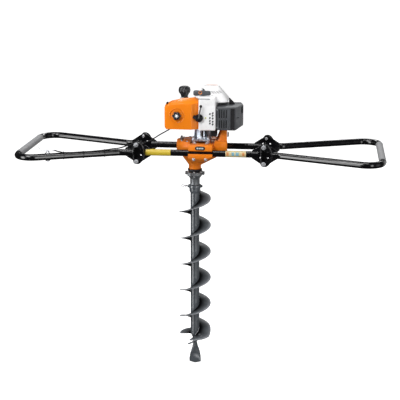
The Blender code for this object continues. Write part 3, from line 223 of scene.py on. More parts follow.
class Look:
    """A material with colour that varies in patches, uneven gloss, a fine grain and edges lightened partly by
    wear and partly by a painted highlight.
    """

    def __init__(self, name, colour, roughness, metallic=0.0, coat=0.0, specular=0.5):
        self.material = bpy.data.materials.new(name)
        self.material.use_nodes = True
        self.tree = self.material.node_tree
        self.shader = self.tree.nodes["Principled BSDF"]
        set_inputs(self.shader, Metallic=metallic, Coat_Weight=coat, Coat_Roughness=COAT_ROUGHNESS,
                   Specular_IOR_Level=specular)
        self.coords = node(self.tree, "TexCoord").outputs["Object"]
        self.colour = (*colour, 1.0)
        self.roughness = roughness
        self.bumps = []

    def mixed(self, share, colour, blend="MIX"):
        """The colour so far, mixed with another by this share."""
        colour = (*colour, 1.0) if isinstance(colour, tuple) else colour
        wires = {0: share, 6: self.colour, 7: colour}
        self.colour = node(self.tree, "Mix", wires, data_type="RGBA", blend_type=blend).outputs[2]
        return self

    def noise(self, scale, detail, stretch=(1, 1, 1), rough=0.55):
        where = node(self.tree, "Mapping", {"Vector": self.coords, "Scale": stretch})
        wires = {"Vector": where.outputs[0], "Scale": scale, "Detail": detail, "Roughness": rough}
        return node(self.tree, "TexNoise", wires).outputs["Fac"]

    def patches(self, tint, scale=14.0, stretch=(1, 1, 1)):
        """Lighter and darker patches, by this share of the colour."""
        lightness = spread(self.tree, self.noise(scale, 5.0, stretch), 0.3, 0.7, 1 - tint, 1.0)
        return self.mixed(1.0, lightness, "MULTIPLY")

    def uneven(self, span, scale=60.0, stretch=(1, 1, 1)):
        """Roughness that varies by plus or minus span."""
        low, high = max(0.02, self.roughness - span), min(1.0, self.roughness + span)
        self.roughness = spread(self.tree, self.noise(scale, 4.0, stretch), 0.3, 0.7, low, high)
        return self

    def grain(self, size, depth, stretch=(1, 1, 1)):
        """Fine bumps of this size and depth, in metres."""
        self.bumps.append((self.noise(1.0 / size, 2.0, stretch), depth))
        return self

    def worn_and_highlit_edges(self, colour, amount=0.5, radius=0.0012):
        """Edges in another colour, lighter on each look that uses it: partly edges rubbed through by wear,
        partly a painted highlight where edges catch the light.
        """
        round_edge = node(self.tree, "Bevel", {"Radius": radius}, samples=3).outputs["Normal"]
        flat = node(self.tree, "NewGeometry").outputs["Normal"]
        edge = spread(self.tree, vector(self.tree, "DOT_PRODUCT", round_edge, flat), 0.97, 0.82)
        broken = spread(self.tree, self.noise(160.0, 5.0), 0.42, 0.62, 0.0, amount)
        return self.mixed(computed(self.tree, "MULTIPLY", edge, broken), colour)

    def specks(self, colour, scale, low, high, amount):
        """Small spots of another colour, where a noise passes from low to high."""
        noise = self.noise(scale, 6.0, rough=0.7)
        return self.mixed(spread(self.tree, noise, low, high, 0.0, amount), colour)

    def radius(self):
        """The distance from the Z axis."""
        return vector(self.tree, "LENGTH", vector(self.tree, "MULTIPLY", self.coords, (1, 1, 0)))

    def painted_core_shade(self, start, end, least):
        """Painted shade: darker near the Z axis, from this share of the colour at one radius to all of it at
        another, with the gloss lowered there in the same way.
        """
        share = spread(self.tree, self.radius(), start, end, least, 1.0)
        gloss = computed(self.tree, "MULTIPLY", share, 0.4)
        self.tree.links.new(gloss, self.shader.inputs["Specular IOR Level"])
        return self.mixed(1.0, share, "MULTIPLY")

    def worn_and_lit_rim(self, colour, start, end, amount):
        """Another colour towards the rim of something round the Z axis, between two radii: partly rubbed
        wear, partly painted light on a rim that is lit more than the core.
        """
        rim = spread(self.tree, self.radius(), start, end)
        broken = spread(self.tree, self.noise(90.0, 5.0), 0.3, 0.6, 0.2, amount)
        return self.mixed(computed(self.tree, "MULTIPLY", rim, broken), colour)

    def waves(self, scale, depth):
        wires = {"Vector": self.coords, "Scale": scale, "Distortion": 0.4}
        wave = node(self.tree, "TexWave", wires, bands_direction="DIAGONAL")
        self.bumps.append((wave.outputs["Fac"], depth))
        return self

    def done(self, slot=None):
        """The material, for pieces in this CAD slot."""
        SLOT_OF[self.material.name] = slot
        normals = []
        for height, depth in self.bumps:
            wires = {"Height": height, "Distance": depth, "Strength": 1.0}
            if normals:
                wires["Normal"] = normals[-1]
            normals.append(node(self.tree, "Bump", wires).outputs["Normal"])
        ends = {"Base Color": self.colour, "Roughness": self.roughness}
        if normals:
            ends["Normal"] = normals[-1]
        for socket, value in ends.items():
            if isinstance(value, bpy.types.NodeSocket):
                self.tree.links.new(value, self.shader.inputs[socket])
            else:
                self.shader.inputs[socket].default_value = value
        return self.material


ORANGE = (0.9, 0.225, 0.006)
# The edge colours given below are lighter than their paints: partly wear, partly a painted highlight on the
# edges.
BLACK_PAINT = (
    Look("black_paint", (0.004, 0.004, 0.005), 0.17, coat=0.35, specular=0.4)
    .patches(0.3, 9).uneven(0.05, 40).grain(0.006, 0.00003)
    .worn_and_highlit_edges((0.16, 0.16, 0.17), 0.6, 0.0016).done("black_paint")
)
ORANGE_PAINT = (
    Look("orange_paint", ORANGE, 0.38, specular=0.35)
    .patches(0.22, 22).specks((0.3, 0.055, 0.01), 55, 0.62, 0.78, 0.45).uneven(0.1, 70)
    .grain(0.0016, 0.00022).worn_and_highlit_edges((0.95, 0.42, 0.12), 0.6).done("orange_paint")
)
ORANGE_PLASTIC = (
    Look("orange_plastic", (0.9, 0.228, 0.004), 0.32, specular=0.3, coat=0.25)
    .patches(0.07, 8).uneven(0.05, 50).grain(0.0008, 0.00003).done("orange_plastic")
)
WHITE_PLASTIC = (
    Look("white_plastic", (0.9, 0.9, 0.905), 0.3, coat=0.2)
    .patches(0.05, 10).uneven(0.05, 50).grain(0.0008, 0.00003).done("white_plastic")
)
TANK_PLASTIC = (
    Look("tank_plastic", (0.7, 0.72, 0.68), 0.42)
    .patches(0.08, 12).uneven(0.06, 50).grain(0.0015, 0.00006).done()
)
BLACK_PLASTIC = (
    Look("black_plastic", (0.012, 0.013, 0.015), 0.3, specular=0.45, coat=0.15)
    .patches(0.25, 20).uneven(0.08, 80).grain(0.0009, 0.0001).done("black_plastic")
)
GUARD_PLASTIC = (
    Look("guard_plastic", (0.07, 0.075, 0.083), 0.46, specular=0.45)
    .patches(0.25, 26).uneven(0.08, 80).grain(0.0011, 0.00016)
    .worn_and_highlit_edges((0.2, 0.2, 0.21), 0.45).done("black_plastic")
)
RUBBER = (
    Look("grip_rubber", (0.27, 0.272, 0.28), 0.58, specular=0.35)
    .patches(0.18, 30).uneven(0.08, 90).grain(0.001, 0.00012).done("rubber")
)
SOFT_BLACK = (
    Look("soft_black", (0.009, 0.009, 0.01), 0.6, specular=0.25)
    .patches(0.2, 30).uneven(0.08, 90).grain(0.001, 0.0001).done("black_plastic")
)
CAST_ALUMINIUM = (
    Look("cast_aluminium", (0.58, 0.66, 0.76), 0.3, metallic=0.55)
    .patches(0.25, 35).uneven(0.1, 90).grain(0.0014, 0.00022)
    .worn_and_highlit_edges((0.85, 0.85, 0.87), 0.6).done("cast_aluminium")
)
STEEL = (
    Look("steel", (0.4, 0.4, 0.42), 0.3, metallic=1.0)
    .patches(0.2, 40).uneven(0.08, 120, (1, 1, 9)).grain(0.0008, 0.00004, (1, 1, 12)).done("steel")
)
DARK_STEEL = (
    Look("dark_steel", (0.045, 0.045, 0.05), 0.42, metallic=0.5)
    .patches(0.2, 40).uneven(0.08, 120).grain(0.0008, 0.00006).done()
)
ZINC = (
    Look("zinc", (0.68, 0.69, 0.72), 0.26, metallic=0.6)
    .patches(0.2, 90).uneven(0.1, 200).grain(0.0009, 0.00004).done("zinc")
)
COPPER = Look("copper_ring", (0.62, 0.22, 0.08), 0.34, metallic=0.7).patches(0.2, 120).uneven(0.08).done()
BIT_PAINT = (
    Look("bit_paint", (0.105, 0.118, 0.132), 0.23, specular=0.5, coat=0.15)
    .patches(0.35, 24, (1, 1, 0.5)).specks((0.03, 0.033, 0.037), 70, 0.6, 0.8, 0.5).uneven(0.08, 60)
    .grain(0.0022, 0.0001).worn_and_highlit_edges((0.3, 0.31, 0.33), 0.7, 0.0015).done("bit_paint")
)
# The bit's paint again for the flights, with painted light and shade: a lighter base, painted shade towards
# the core, and a rim lighter by wear and by painted light.
LIT_AND_SHADED_FLIGHT_PAINT = (
    Look("lit_and_shaded_flight_paint", (0.155, 0.17, 0.186), 0.36)
    .patches(0.3, 24, (1, 1, 0.5)).specks((0.035, 0.038, 0.042), 70, 0.6, 0.8, 0.5).uneven(0.1, 60)
    .grain(0.0022, 0.00012).worn_and_highlit_edges((0.3, 0.31, 0.33), 0.6, 0.0015).painted_core_shade(0.027, 0.07, 0.04)
    .worn_and_lit_rim((0.25, 0.26, 0.28), 0.056, 0.0655, 0.9).done("bit_paint")
)
FLANGE_PAINT = (
    Look("flange_paint", (0.17, 0.18, 0.19), 0.4, metallic=0.35)
    .patches(0.3, 60).specks((0.16, 0.09, 0.06), 80, 0.55, 0.75, 0.4).uneven(0.1, 90)
    .grain(0.0014, 0.00018).worn_and_highlit_edges((0.42, 0.42, 0.44), 0.7).done("steel")
)
FOAM = (
    Look("filter_foam", (0.05, 0.05, 0.045), 0.95, specular=0.2)
    .patches(0.3, 60).grain(0.0012, 0.0004).done()
)
ROPE = (
    Look("starter_rope", (0.12, 0.12, 0.12), 0.85, specular=0.2)
    .patches(0.2, 200).waves(900, 0.0004).done()
)
YELLOW_FILM = (
    Look("yellow_film", (0.6, 0.44, 0.028), 0.38, coat=0.2)
    .patches(0.1, 40).specks((0.45, 0.3, 0.02), 260, 0.52, 0.66, 0.5).uneven(0.06).done()
)
CREAM_FILM = Look("cream_film", (0.62, 0.52, 0.28), 0.4, coat=0.1).patches(0.1, 60).uneven(0.06).done()
BLUE_FILM = Look("blue_film", (0.2, 0.42, 0.52), 0.38, coat=0.2).patches(0.2, 90).uneven(0.06).done()
RED_FILM = Look("red_film", (0.62, 0.24, 0.07), 0.38, coat=0.2).patches(0.2, 90).uneven(0.06).done()
BADGE_FILM = Look("badge_film", (0.02, 0.026, 0.026), 0.25, coat=0.4).patches(0.2, 90).uneven(0.05).done()
PALE_PRINT = Look("pale_print", (0.6, 0.62, 0.62), 0.4).patches(0.12, 90).uneven(0.05).done()
# Dark print for the panel marks; the same dark is also painted shade in the deck's shadow line.
DARK_PRINT_AND_SHADE = Look("dark_print_and_shade", (0.045, 0.045, 0.05), 0.4).patches(0.12, 90).uneven(0.05).done()
LIME = Look("primer_bulb", (0.52, 0.58, 0.1), 0.35, coat=0.3).patches(0.1, 90).uneven(0.05).done()


# --- mesh helpers ---

AXES = {"X": Vector((1, 0, 0)), "Y": Vector((0, 1, 0)), "Z": Vector((0, 0, 1))}
SHARP_ANGLE = 32
FRONT = (0, -1, 0)


def finished(shape, name, matrix=None):
    """An object of a bmesh, its faces pointing out."""
    bmesh.ops.recalc_face_normals(shape, faces=shape.faces)
    mesh = mesh_of(shape, name)
    if matrix:
        mesh.transform(matrix)
    return new_object(name, mesh)


def realise(obj):
    """Applies obj's modifiers."""
    bpy.context.view_layer.update()
    evaluated = obj.evaluated_get(bpy.context.evaluated_depsgraph_get())
    mesh = bpy.data.meshes.new_from_object(evaluated)
    obj.modifiers.clear()
    obj.data = mesh
    return obj


def rounding(obj, width, segments, angle):
    """A bevel on the edges that turn by more than an angle in degrees."""
    modifier = obj.modifiers.new("rounding", "BEVEL")
    modifier.width = width
    modifier.segments = segments
    modifier.limit_method = "ANGLE"
    modifier.angle_limit = math.radians(angle)


def bevel(obj, width, segments=3, angle=35):
    rounding(obj, width, segments, angle)
    return realise(obj)


def cut(obj, *others):
    for other in others:
        change = obj.modifiers.new("cut", "BOOLEAN")
        change.operation = "DIFFERENCE"
        change.object = other
    realise(obj)
    for other in others:
        bpy.data.objects.remove(other)
    return obj


def merge(name, *objects):
    """One object of several, each still its own closed body."""
    shape = bmesh.new()
    for obj in objects:
        shape.from_mesh(obj.data)
        bpy.data.objects.remove(obj)
    return new_object(name, mesh_of(shape, name))


def moved(obj, matrix):
    obj.data.transform(matrix)
    return obj


def placed(at, degrees, axis="Z"):
    """A turn about an axis, then a move."""
    return Matrix.Translation(at) @ Matrix.Rotation(math.radians(degrees), 4, axis)


def oval(across, along, centre=(0, 0), steps=12):
    return [(centre[0] + across * math.cos(t), centre[1] + along * math.sin(t)) for t in turns(steps)]


def squared_oval(across, along, powers, steps=32):
    """An oval drawn out towards a rectangle, the more so the smaller the powers."""
    def drawn(value, power):
        return math.copysign(abs(value) ** power, value)

    return [
        (across * drawn(math.cos(t), powers[0]), along * drawn(math.sin(t), powers[1]))
        for t in turns(steps)
    ]


def arc(centre, radius, start, end, steps):
    across, along = radius if isinstance(radius, tuple) else (radius, radius)
    angles = [math.radians(start + (end - start) * i / steps) for i in range(steps + 1)]
    return [(centre[0] + across * math.cos(t), centre[1] + along * math.sin(t)) for t in angles]


def rounded_rectangle(low, high, radius, steps=8):
    (x0, y0), (x1, y1) = low, high
    corners = (
        ((x1 - radius, y0 + radius), -90), ((x1 - radius, y1 - radius), 0),
        ((x0 + radius, y1 - radius), 90), ((x0 + radius, y0 + radius), 180),
    )
    return [p for centre, turn in corners for p in arc(centre, radius, turn, turn + 90, steps)]


def loft(name, sections, closed=False, matrix=None):
    """A body through sections with equal numbers of points, capped unless its ends meet."""
    shape = bmesh.new()
    rings = [[shape.verts.new(point) for point in section] for section in sections]
    pairs = list(zip(rings, rings[1:]))
    if closed:
        pairs.append((rings[-1], rings[0]))
    for one, two in pairs:
        for a in range(len(one)):
            shape.faces.new((one[a - 1], one[a], two[a], two[a - 1]))
    if not closed:
        shape.faces.new(rings[0][::-1])
        shape.faces.new(rings[-1])
    return finished(shape, name, matrix)


def axis_matrix(at, axis):
    direction = AXES[axis] if isinstance(axis, str) else Vector(axis)
    return Matrix.Translation(at) @ direction.to_track_quat("Z", "Y").to_matrix().to_4x4()


def turned(name, profile, at=(0, 0, 0), axis="Z", steps=48, lobes=0, depth=0.0):
    """A solid turned about an axis. Its (radius, height) profile starts and ends off the axis, where it
    is capped flat. Lobes scale the radius round the turn."""
    scales = [(t, 1 - depth * (0.5 - 0.5 * math.cos(lobes * t)) ** 2) for t in turns(steps)]
    sections = [[around(radius * scale, t, height) for t, scale in scales] for radius, height in profile]
    return loft(name, sections, matrix=axis_matrix(at, axis))


def ring(name, profile, at=(0, 0, 0), axis="Z", steps=48):
    """A closed profile turned about an axis."""
    sections = [[around(r, t, h) for r, h in profile] for t in turns(steps)]
    return loft(name, sections, closed=True, matrix=axis_matrix(at, axis))


def rod(name, start, end, radius, end_radius=None, sides=32, edge=0.0):
    """A round bar between two points, its ends chamfered by edge."""
    start, end = Vector(start), Vector(end)
    length, far = (end - start).length, radius if end_radius is None else end_radius
    profile = [(radius - edge, 0), (far - edge, length)]
    if edge:
        profile[1:1] = [(radius, edge), (far, length - edge)]
    return turned(name, profile, start, end - start, sides)


def drill(x, z, start_y, end_y, radius, sides=32):
    """A tool for a hole along Y."""
    return rod("drill", (x, start_y, z), (x, end_y, z), radius, sides=sides)


def box(name, low, high, edge=0.0, segments=3):
    low, high = Vector(low), Vector(high)
    shape = bmesh.new()
    bmesh.ops.create_cube(shape, size=1.0)
    bmesh.ops.scale(shape, vec=high - low, verts=shape.verts)
    bmesh.ops.translate(shape, vec=(low + high) / 2, verts=shape.verts)
    made = finished(shape, name)
    return bevel(made, edge, segments) if edge else made


def prism(name, outline, thickness, at=(0, 0, 0), normal="Z", edge=0.0, segments=3, angle=35):
    """A plate with a flat outline, centred on at: (x, y) points with normal Z, or (x, z) with normal Y."""
    ends = (-thickness / 2, thickness / 2)
    if normal == "Z":
        sections = [[(x, y, h) for x, y in outline] for h in ends]
    else:
        sections = [[(x, h, z) for x, z in outline] for h in ends]
    made = loft(name, sections, matrix=Matrix.Translation(at))
    return bevel(made, edge, segments, angle) if edge else made


def hull(name, points, edge=0.0, segments=4, angle=15):
    shape = bmesh.new()
    corners = [shape.verts.new(point) for point in points]
    found = bmesh.ops.convex_hull(shape, input=corners)
    loose = {v for v in found["geom_interior"] if isinstance(v, bmesh.types.BMVert)}
    bmesh.ops.delete(shape, geom=list(loose), context="VERTS")
    bmesh.ops.dissolve_limit(shape, angle_limit=math.radians(1), verts=shape.verts, edges=shape.edges)
    made = finished(shape, name)
    return bevel(made, edge, segments, angle) if edge else made


def drawn_along_y(outline, start_y, end_y):
    """The corners of an (x, z) outline at two places along Y."""
    return [(x, y, z) for y in (start_y, end_y) for x, z in outline]


def frames_along(path):
    """A position and two directions across it, for each point of a path, without twist."""
    path = [Vector(p) for p in path]
    across = None
    frames = []
    for i, point in enumerate(path):
        ahead = (path[min(i + 1, len(path) - 1)] - path[max(i - 1, 0)]).normalized()
        if across is None:
            across = ahead.orthogonal().normalized()
        across = (across - ahead * across.dot(ahead)).normalized()
        frames.append((point, across, ahead.cross(across)))
    return frames


def pipe(name, path, radius, sides=32, ripple=0.0):
    """A round bar along a path. A ripple makes its radius rise and fall, as on a weld bead."""
    sections = []
    for i, (point, across, up) in enumerate(frames_along(path)):
        r = radius * (1 + ripple * math.sin(1.9 * i))
        sections.append([point + across * (r * math.cos(t)) + up * (r * math.sin(t)) for t in turns(sides)])
    return loft(name, sections)


def ring_path(centre, radius, axis="Z", steps=40):
    matrix = axis_matrix(centre, axis)
    return [matrix @ Vector(around(radius, math.tau * i / steps, 0)) for i in range(steps + 1)]


def rounded_path(corners, radii, steps=14):
    """A path through corners whose inner ones are replaced with arcs of these radii."""
    corners = [Vector(corner) for corner in corners]
    path = [corners[0]]
    for before, corner, after, radius in zip(corners, corners[1:], corners[2:], radii):
        back, ahead = (before - corner).normalized(), (after - corner).normalized()
        half = back.angle(ahead) / 2
        centre = corner + (back + ahead).normalized() * radius / math.sin(half)
        first = corner + back * radius / math.tan(half) - centre
        last = corner + ahead * radius / math.tan(half) - centre
        turn = first.rotation_difference(last)
        path += [centre + Quaternion().slerp(turn, i / steps) @ first for i in range(steps + 1)]
    return [*path, corners[-1]]


def smooth_path(points, per_span=10):
    """A smooth curve through points, as a Catmull-Rom spline."""
    points = [Vector(p) for p in points]
    ends = [2 * points[0] - points[1], *points, 2 * points[-1] - points[-2]]
    path = []
    for a, b, c, d in zip(ends, ends[1:], ends[2:], ends[3:]):
        for t in (i / per_span for i in range(per_span)):
            square, cube = 2 * a - 5 * b + 4 * c - d, 3 * b - a - 3 * c + d
            path.append(0.5 * (2 * b + (c - a) * t + square * t**2 + cube * t**3))
    return [*path, points[-1]]


def hex_bolt(name, at, axis, radius=0.0055, height=0.0045, washer=0.0):
    """A chamfered hexagon head with a round boss on it, on a washer where that has a radius."""
    flat, step = radius * 0.87, 0.0004
    base = 0.0018 if washer else 0.0
    seat = axis_matrix(at, axis) @ Matrix.Translation((0, 0, base))
    head = [(radius * 0.9, 0), (radius, step), (radius, height * 0.8), (flat, height)]
    boss = [(flat * 0.82, height - 0.0002), (flat * 0.8, height + 0.0005), (flat * 0.3, height + 0.0009)]
    parts = []
    if washer:
        rim = [(washer - step, 0), (washer, step), (washer, base - step), (washer - step, base)]
        parts.append(turned(name + "_washer", rim, at, axis, 40))
    parts.append(moved(turned(name + "_head", head, steps=6), seat))
    parts.append(moved(turned(name + "_boss", boss, steps=24), seat))
    return merge(name, *parts)


def wear(obj, look, angle=SHARP_ANGLE):
    """Gives a piece its one material, smooth but for edges sharper than an angle in degrees."""
    obj.data.materials.clear()
    obj.data.materials.append(look)
    obj.data.shade_smooth()
    obj.data.set_sharp_from_angle(angle=math.radians(angle))
    return obj


def show(obj, look, body, *replaced, slot="its look's", angle=SHARP_ANGLE):
    """Gives a piece its material and its body, and hides the nodes that it stands for."""
    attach(wear(obj, look, angle), body)
    if slot == "its look's":
        slot = SLOT_OF[look.name]
    if replaced:
        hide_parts(*replaced)


def show_blended(obj, look, ends, slot, *replaced, start, end):
    """Gives a cord its material and smooth shading, hides the nodes that it stands for and bakes its
    transform. Its ends, start and end are not used.
    """
    obj.data.materials.append(look)
    obj.data.shade_smooth()
    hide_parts(*replaced)
    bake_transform(obj)


def dress(look, *node_names, edge=0.0):
    """Keeps CAD nodes, with a finer material and softened edges."""
    for node_name in node_names:
        obj = wear(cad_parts[node_name], look)
        weld = obj.modifiers.new("weld", "WELD")
        weld.merge_threshold = 0.00002
        if edge:
            rounding(obj, edge, 2, 50)


# --- frame, hinges and handles ---

TUBE_R, TUBE_Y = 0.0135, 0.085
LEFT_HINGE, RIGHT_HINGE = -0.23, 0.294
BOLT_Z = 0.035
CUP_Y, CUP_DEPTH = 0.0886, 0.027
CUP_FLAT_X, CUP_ROUND_X = -0.0125, 0.0335
GRIP_TUBE_Y = CUP_Y + TUBE_R
SIGHT_HOLES = ((0.016, 0.0125), (0.016, -0.0125), (-0.014, 0.0125), (-0.014, -0.0125))
BOLT_HOLE_R, SIGHT_HOLE_R = 0.0056, 0.0036
SIDES = (("front", -1), ("rear", 1))
ENDS = (("left", LEFT_HINGE), ("right", RIGHT_HINGE))
FRAME_TUBE_X, FRAME_TUBE_HALF, FRAME_TUBE_BORE_R = 0.03825, 0.23375, 0.0115
CORNER_Y = 0.2797  # where a handle tube's straight runs would meet
LARGE_HEAD = (0.0078, 0.0055, 0.0097)  # a hinge bolt's head: its radius, height and washer's radius


def build_frame_tubes():
    outer, inner, half, edge = TUBE_R, FRAME_TUBE_BORE_R, FRAME_TUBE_HALF, 0.0005
    profile = [(inner, half), (outer - edge, half), (outer, half - edge),
               (outer, edge - half), (outer - edge, -half), (inner, -half)]
    for side_name, side in SIDES:
        tube = ring(f"{side_name}_tube", profile, (FRAME_TUBE_X, side * TUBE_Y, 0), "X")
        show(tube, BLACK_PAINT, "frame", f"frame_tube_{side_name}")


def hinge_plate(place, hinge, side):
    outline = ((0.003, 0.05), (-0.05, 0.0155), (-0.05, -0.0155),
               (0.003, -0.05), (0.056, -0.0155), (0.056, 0.0155))
    y = side * TUBE_Y
    plate = prism(f"plate_{place}", outline, 0.006, (hinge, y, 0), "Y", 0.0009, angle=25)
    holes = [drill(hinge, z, y - 0.01, y + 0.01, BOLT_HOLE_R) for z in (BOLT_Z, -BOLT_Z)]
    holes += [drill(hinge + x, z, y - 0.01, y + 0.01, SIGHT_HOLE_R, 24) for x, z in SIGHT_HOLES]
    show(cut(plate, *holes), BLACK_PAINT, "frame", f"hinge_plate_{place}")


def hinge_cup(place, body, hinge, side):
    """The D-shaped cup on a handle's end, open outwards, and its lock bolt."""
    centre, size, wall = (0.004, 0.0), (0.0295, 0.046), 0.004
    outline = [(CUP_FLAT_X, -0.038), (-0.006, -0.045), *arc(centre, size, -90, 90, 36),
               (-0.006, 0.045), (CUP_FLAT_X, 0.038)]
    pocket = [(CUP_FLAT_X + wall, -0.02), (-0.002, -0.0235),
              *arc(centre, (size[0] - wall, 0.0235), -70, 70, 28), (-0.002, 0.0235),
              (CUP_FLAT_X + wall, 0.02)]
    middle, outer = side * (CUP_Y + CUP_DEPTH / 2), side * (CUP_Y + CUP_DEPTH)
    cup = prism(f"cup_{place}", outline, CUP_DEPTH, (hinge, middle, 0), "Y", 0.0012, angle=25)
    tools = [prism("pocket", pocket, CUP_DEPTH, (hinge, middle + side * wall, 0), "Y")]
    tools.append(drill(hinge, BOLT_Z, 0, 2 * outer, BOLT_HOLE_R))
    tools += [drill(hinge + x, z, 0, 2 * outer, SIGHT_HOLE_R, 24) for x, z in SIGHT_HOLES[:2]]
    show(cut(cup, *tools), BLACK_PAINT, body, f"hinge_cup_{place}")
    head = hex_bolt(f"lock_bolt_{place}", (hinge, outer, -BOLT_Z), (0, side, 0), *LARGE_HEAD)
    show(head, ZINC, body)


def pivot_bolt(place, hinge, side):
    head_y, nut_y, tip_y = (side * y for y in (CUP_Y + CUP_DEPTH + 0.0003, 0.0817, 0.0765))
    head = hex_bolt("head", (hinge, head_y, BOLT_Z), (0, side, 0), *LARGE_HEAD)
    shank = rod("shank", (hinge, tip_y, BOLT_Z), (hinge, head_y, BOLT_Z), 0.005, edge=0.0006)
    nut = hex_bolt("nut", (hinge, nut_y, BOLT_Z), (0, -side, 0), 0.0066, 0.0042)
    show(merge(f"hinge_bolt_{place}", head, shank, nut), ZINC, "frame", f"pivot_bolt_{place}")


def grip_sleeve(name, x, body, node_name):
    """A moulded sleeve with fine rings between two plain collars."""
    inner, half, collar, pitch = 0.0138, 0.178, 0.01, 0.0052
    outside = [(0.0146, half), (0.015, half - 0.0006), (0.015, half - collar)]
    count = round(2 * (half - collar) / pitch)
    for i in range(count):
        top = half - collar - pitch * i
        outside += [(0.0142, top - 0.0012), (0.0142, top - 0.002), (0.0148, top - 0.0028),
                    (0.0148, top - pitch + 0.0004)]
    outside += [(0.015, collar - half), (0.015, 0.0006 - half), (0.0146, -half)]
    sleeve = ring(name, [(inner, half), *outside, (inner, -half)], (x, 0, 0), "Y", 40)
    show(sleeve, RUBBER, body, node_name, angle=50)


def build_handle(side_name, start_x, bend_x, end_x):
    body = f"{side_name}_handle"
    run = [(start_x, GRIP_TUBE_Y), (bend_x, GRIP_TUBE_Y), (end_x, CORNER_Y)]
    corners = [(x, -y, 0) for x, y in run] + [(x, y, 0) for x, y in run[::-1]]
    tube = pipe(f"{side_name}_loop", rounded_path(corners, (0.05, 0.062, 0.062, 0.05)), TUBE_R, 40)
    show(tube, BLACK_PAINT, body, f"{side_name}_handle_tube")
    beads = [
        pipe("bead", ring_path((start_x, side * GRIP_TUBE_Y, 0), TUBE_R + 0.0008, "X", 60), 0.0018, 10, 0.12)
        for _, side in SIDES
    ]
    show(merge(f"{side_name}_loop_welds", *beads), BLACK_PAINT, body)
    grip_sleeve(f"{side_name}_grip", end_x, body, f"{side_name}_grip_sleeve")


def plate_welds(hinge, near, far, y):
    """The four beads between a frame tube and the hinge plate in its slot."""
    for face_y in (y - 0.0042, y + 0.0042):
        for z in (-0.0128, 0.0128):
            path = [(hinge + near + (far - near) * i / 14, face_y, z) for i in range(15)]
            yield pipe("bead", path, 0.0015, 8, 0.14)


def build_frame():
    build_frame_tubes()
    beads = []
    for side_name, side in SIDES:
        for end_name, hinge in ENDS:
            place = f"{end_name}_{side_name}"
            hinge_plate(place, hinge, side)
            hinge_cup(place, f"{end_name}_handle", hinge, side)
            pivot_bolt(place, hinge, side)
            near, far = (0.036, 0.054) if end_name == "left" else (-0.048, -0.024)
            beads += plate_welds(hinge, near, far, side * TUBE_Y)
    show(merge("hinge_welds", *beads), BLACK_PAINT, "frame")
    build_handle("left", LEFT_HINGE + CUP_FLAT_X - 0.0003, LEFT_HINGE - 0.07, -0.706)
    build_handle("right", RIGHT_HINGE + CUP_ROUND_X + 0.0003, RIGHT_HINGE + 0.066, 0.77)


def tube_film(name, look, x0, x1, low, high, radius=0.01365):
    """A film round the front tube, between two angles from its front line, in degrees."""
    outline = arc((-TUBE_Y, 0), radius + 0.00015, 180 - high, 180 - low, 24)
    outline += arc((-TUBE_Y, 0), radius - 0.0002, 180 - low, 180 - high, 24)
    show(loft(name, [[(x, y, z) for y, z in outline] for x in (x0, x1)]), look, "frame")


def build_films():
    """The plain yellow film, and the cream one with coloured patches. Neither carries lettering."""
    tube_film("yellow_film", YELLOW_FILM, -0.1934, -0.0902, -80, 86)
    tube_film("cream_film", CREAM_FILM, 0.137, 0.2209, -62, 78)
    patches = (("red_a", RED_FILM, 0.141, 0.15), ("blue_a", BLUE_FILM, 0.162, 0.173),
               ("blue_b", BLUE_FILM, 0.179, 0.192), ("red_b", RED_FILM, 0.206, 0.215))
    for name, look, x0, x1 in patches:
        tube_film(f"film_patch_{name}", look, x0, x1, -22, 40, 0.01385)


# --- throttle ---

LEVER, LEVER_PIN_Z = Vector((-0.574, -0.22216, 0)), 0.024
RUN_X0, RUN_LENGTH = -0.3, 0.406  # the sloping run of a left handle tube, along X
SLOPE = math.degrees(math.atan2(CORNER_Y - GRIP_TUBE_Y, RUN_LENGTH))
CABLE_R = 0.0026
CABLE_ROUTE = (
    (-0.0555, -0.028, 0.121), (-0.075, -0.042, 0.1085), (-0.1018, -0.05, 0.09), (-0.138, -0.06, 0.07),
    (-0.162, -0.066, 0.055), (-0.18, -0.07, 0.0445), (-0.203, -0.071, 0.0375), (-0.2266, -0.07, 0.0355),
    (-0.2334, -0.07, 0.0345), (-0.262, -0.076, 0.0275), (-0.3, -0.0975, 0.0178), (-0.33, -0.1188, 0.0168),
    (-0.37, -0.1423, 0.0143), (-0.44, -0.1748, 0.0128), (-0.505, -0.2015, 0.0144), (-0.53, -0.2078, 0.0188),
    (-0.549, -0.21, 0.0245),
)


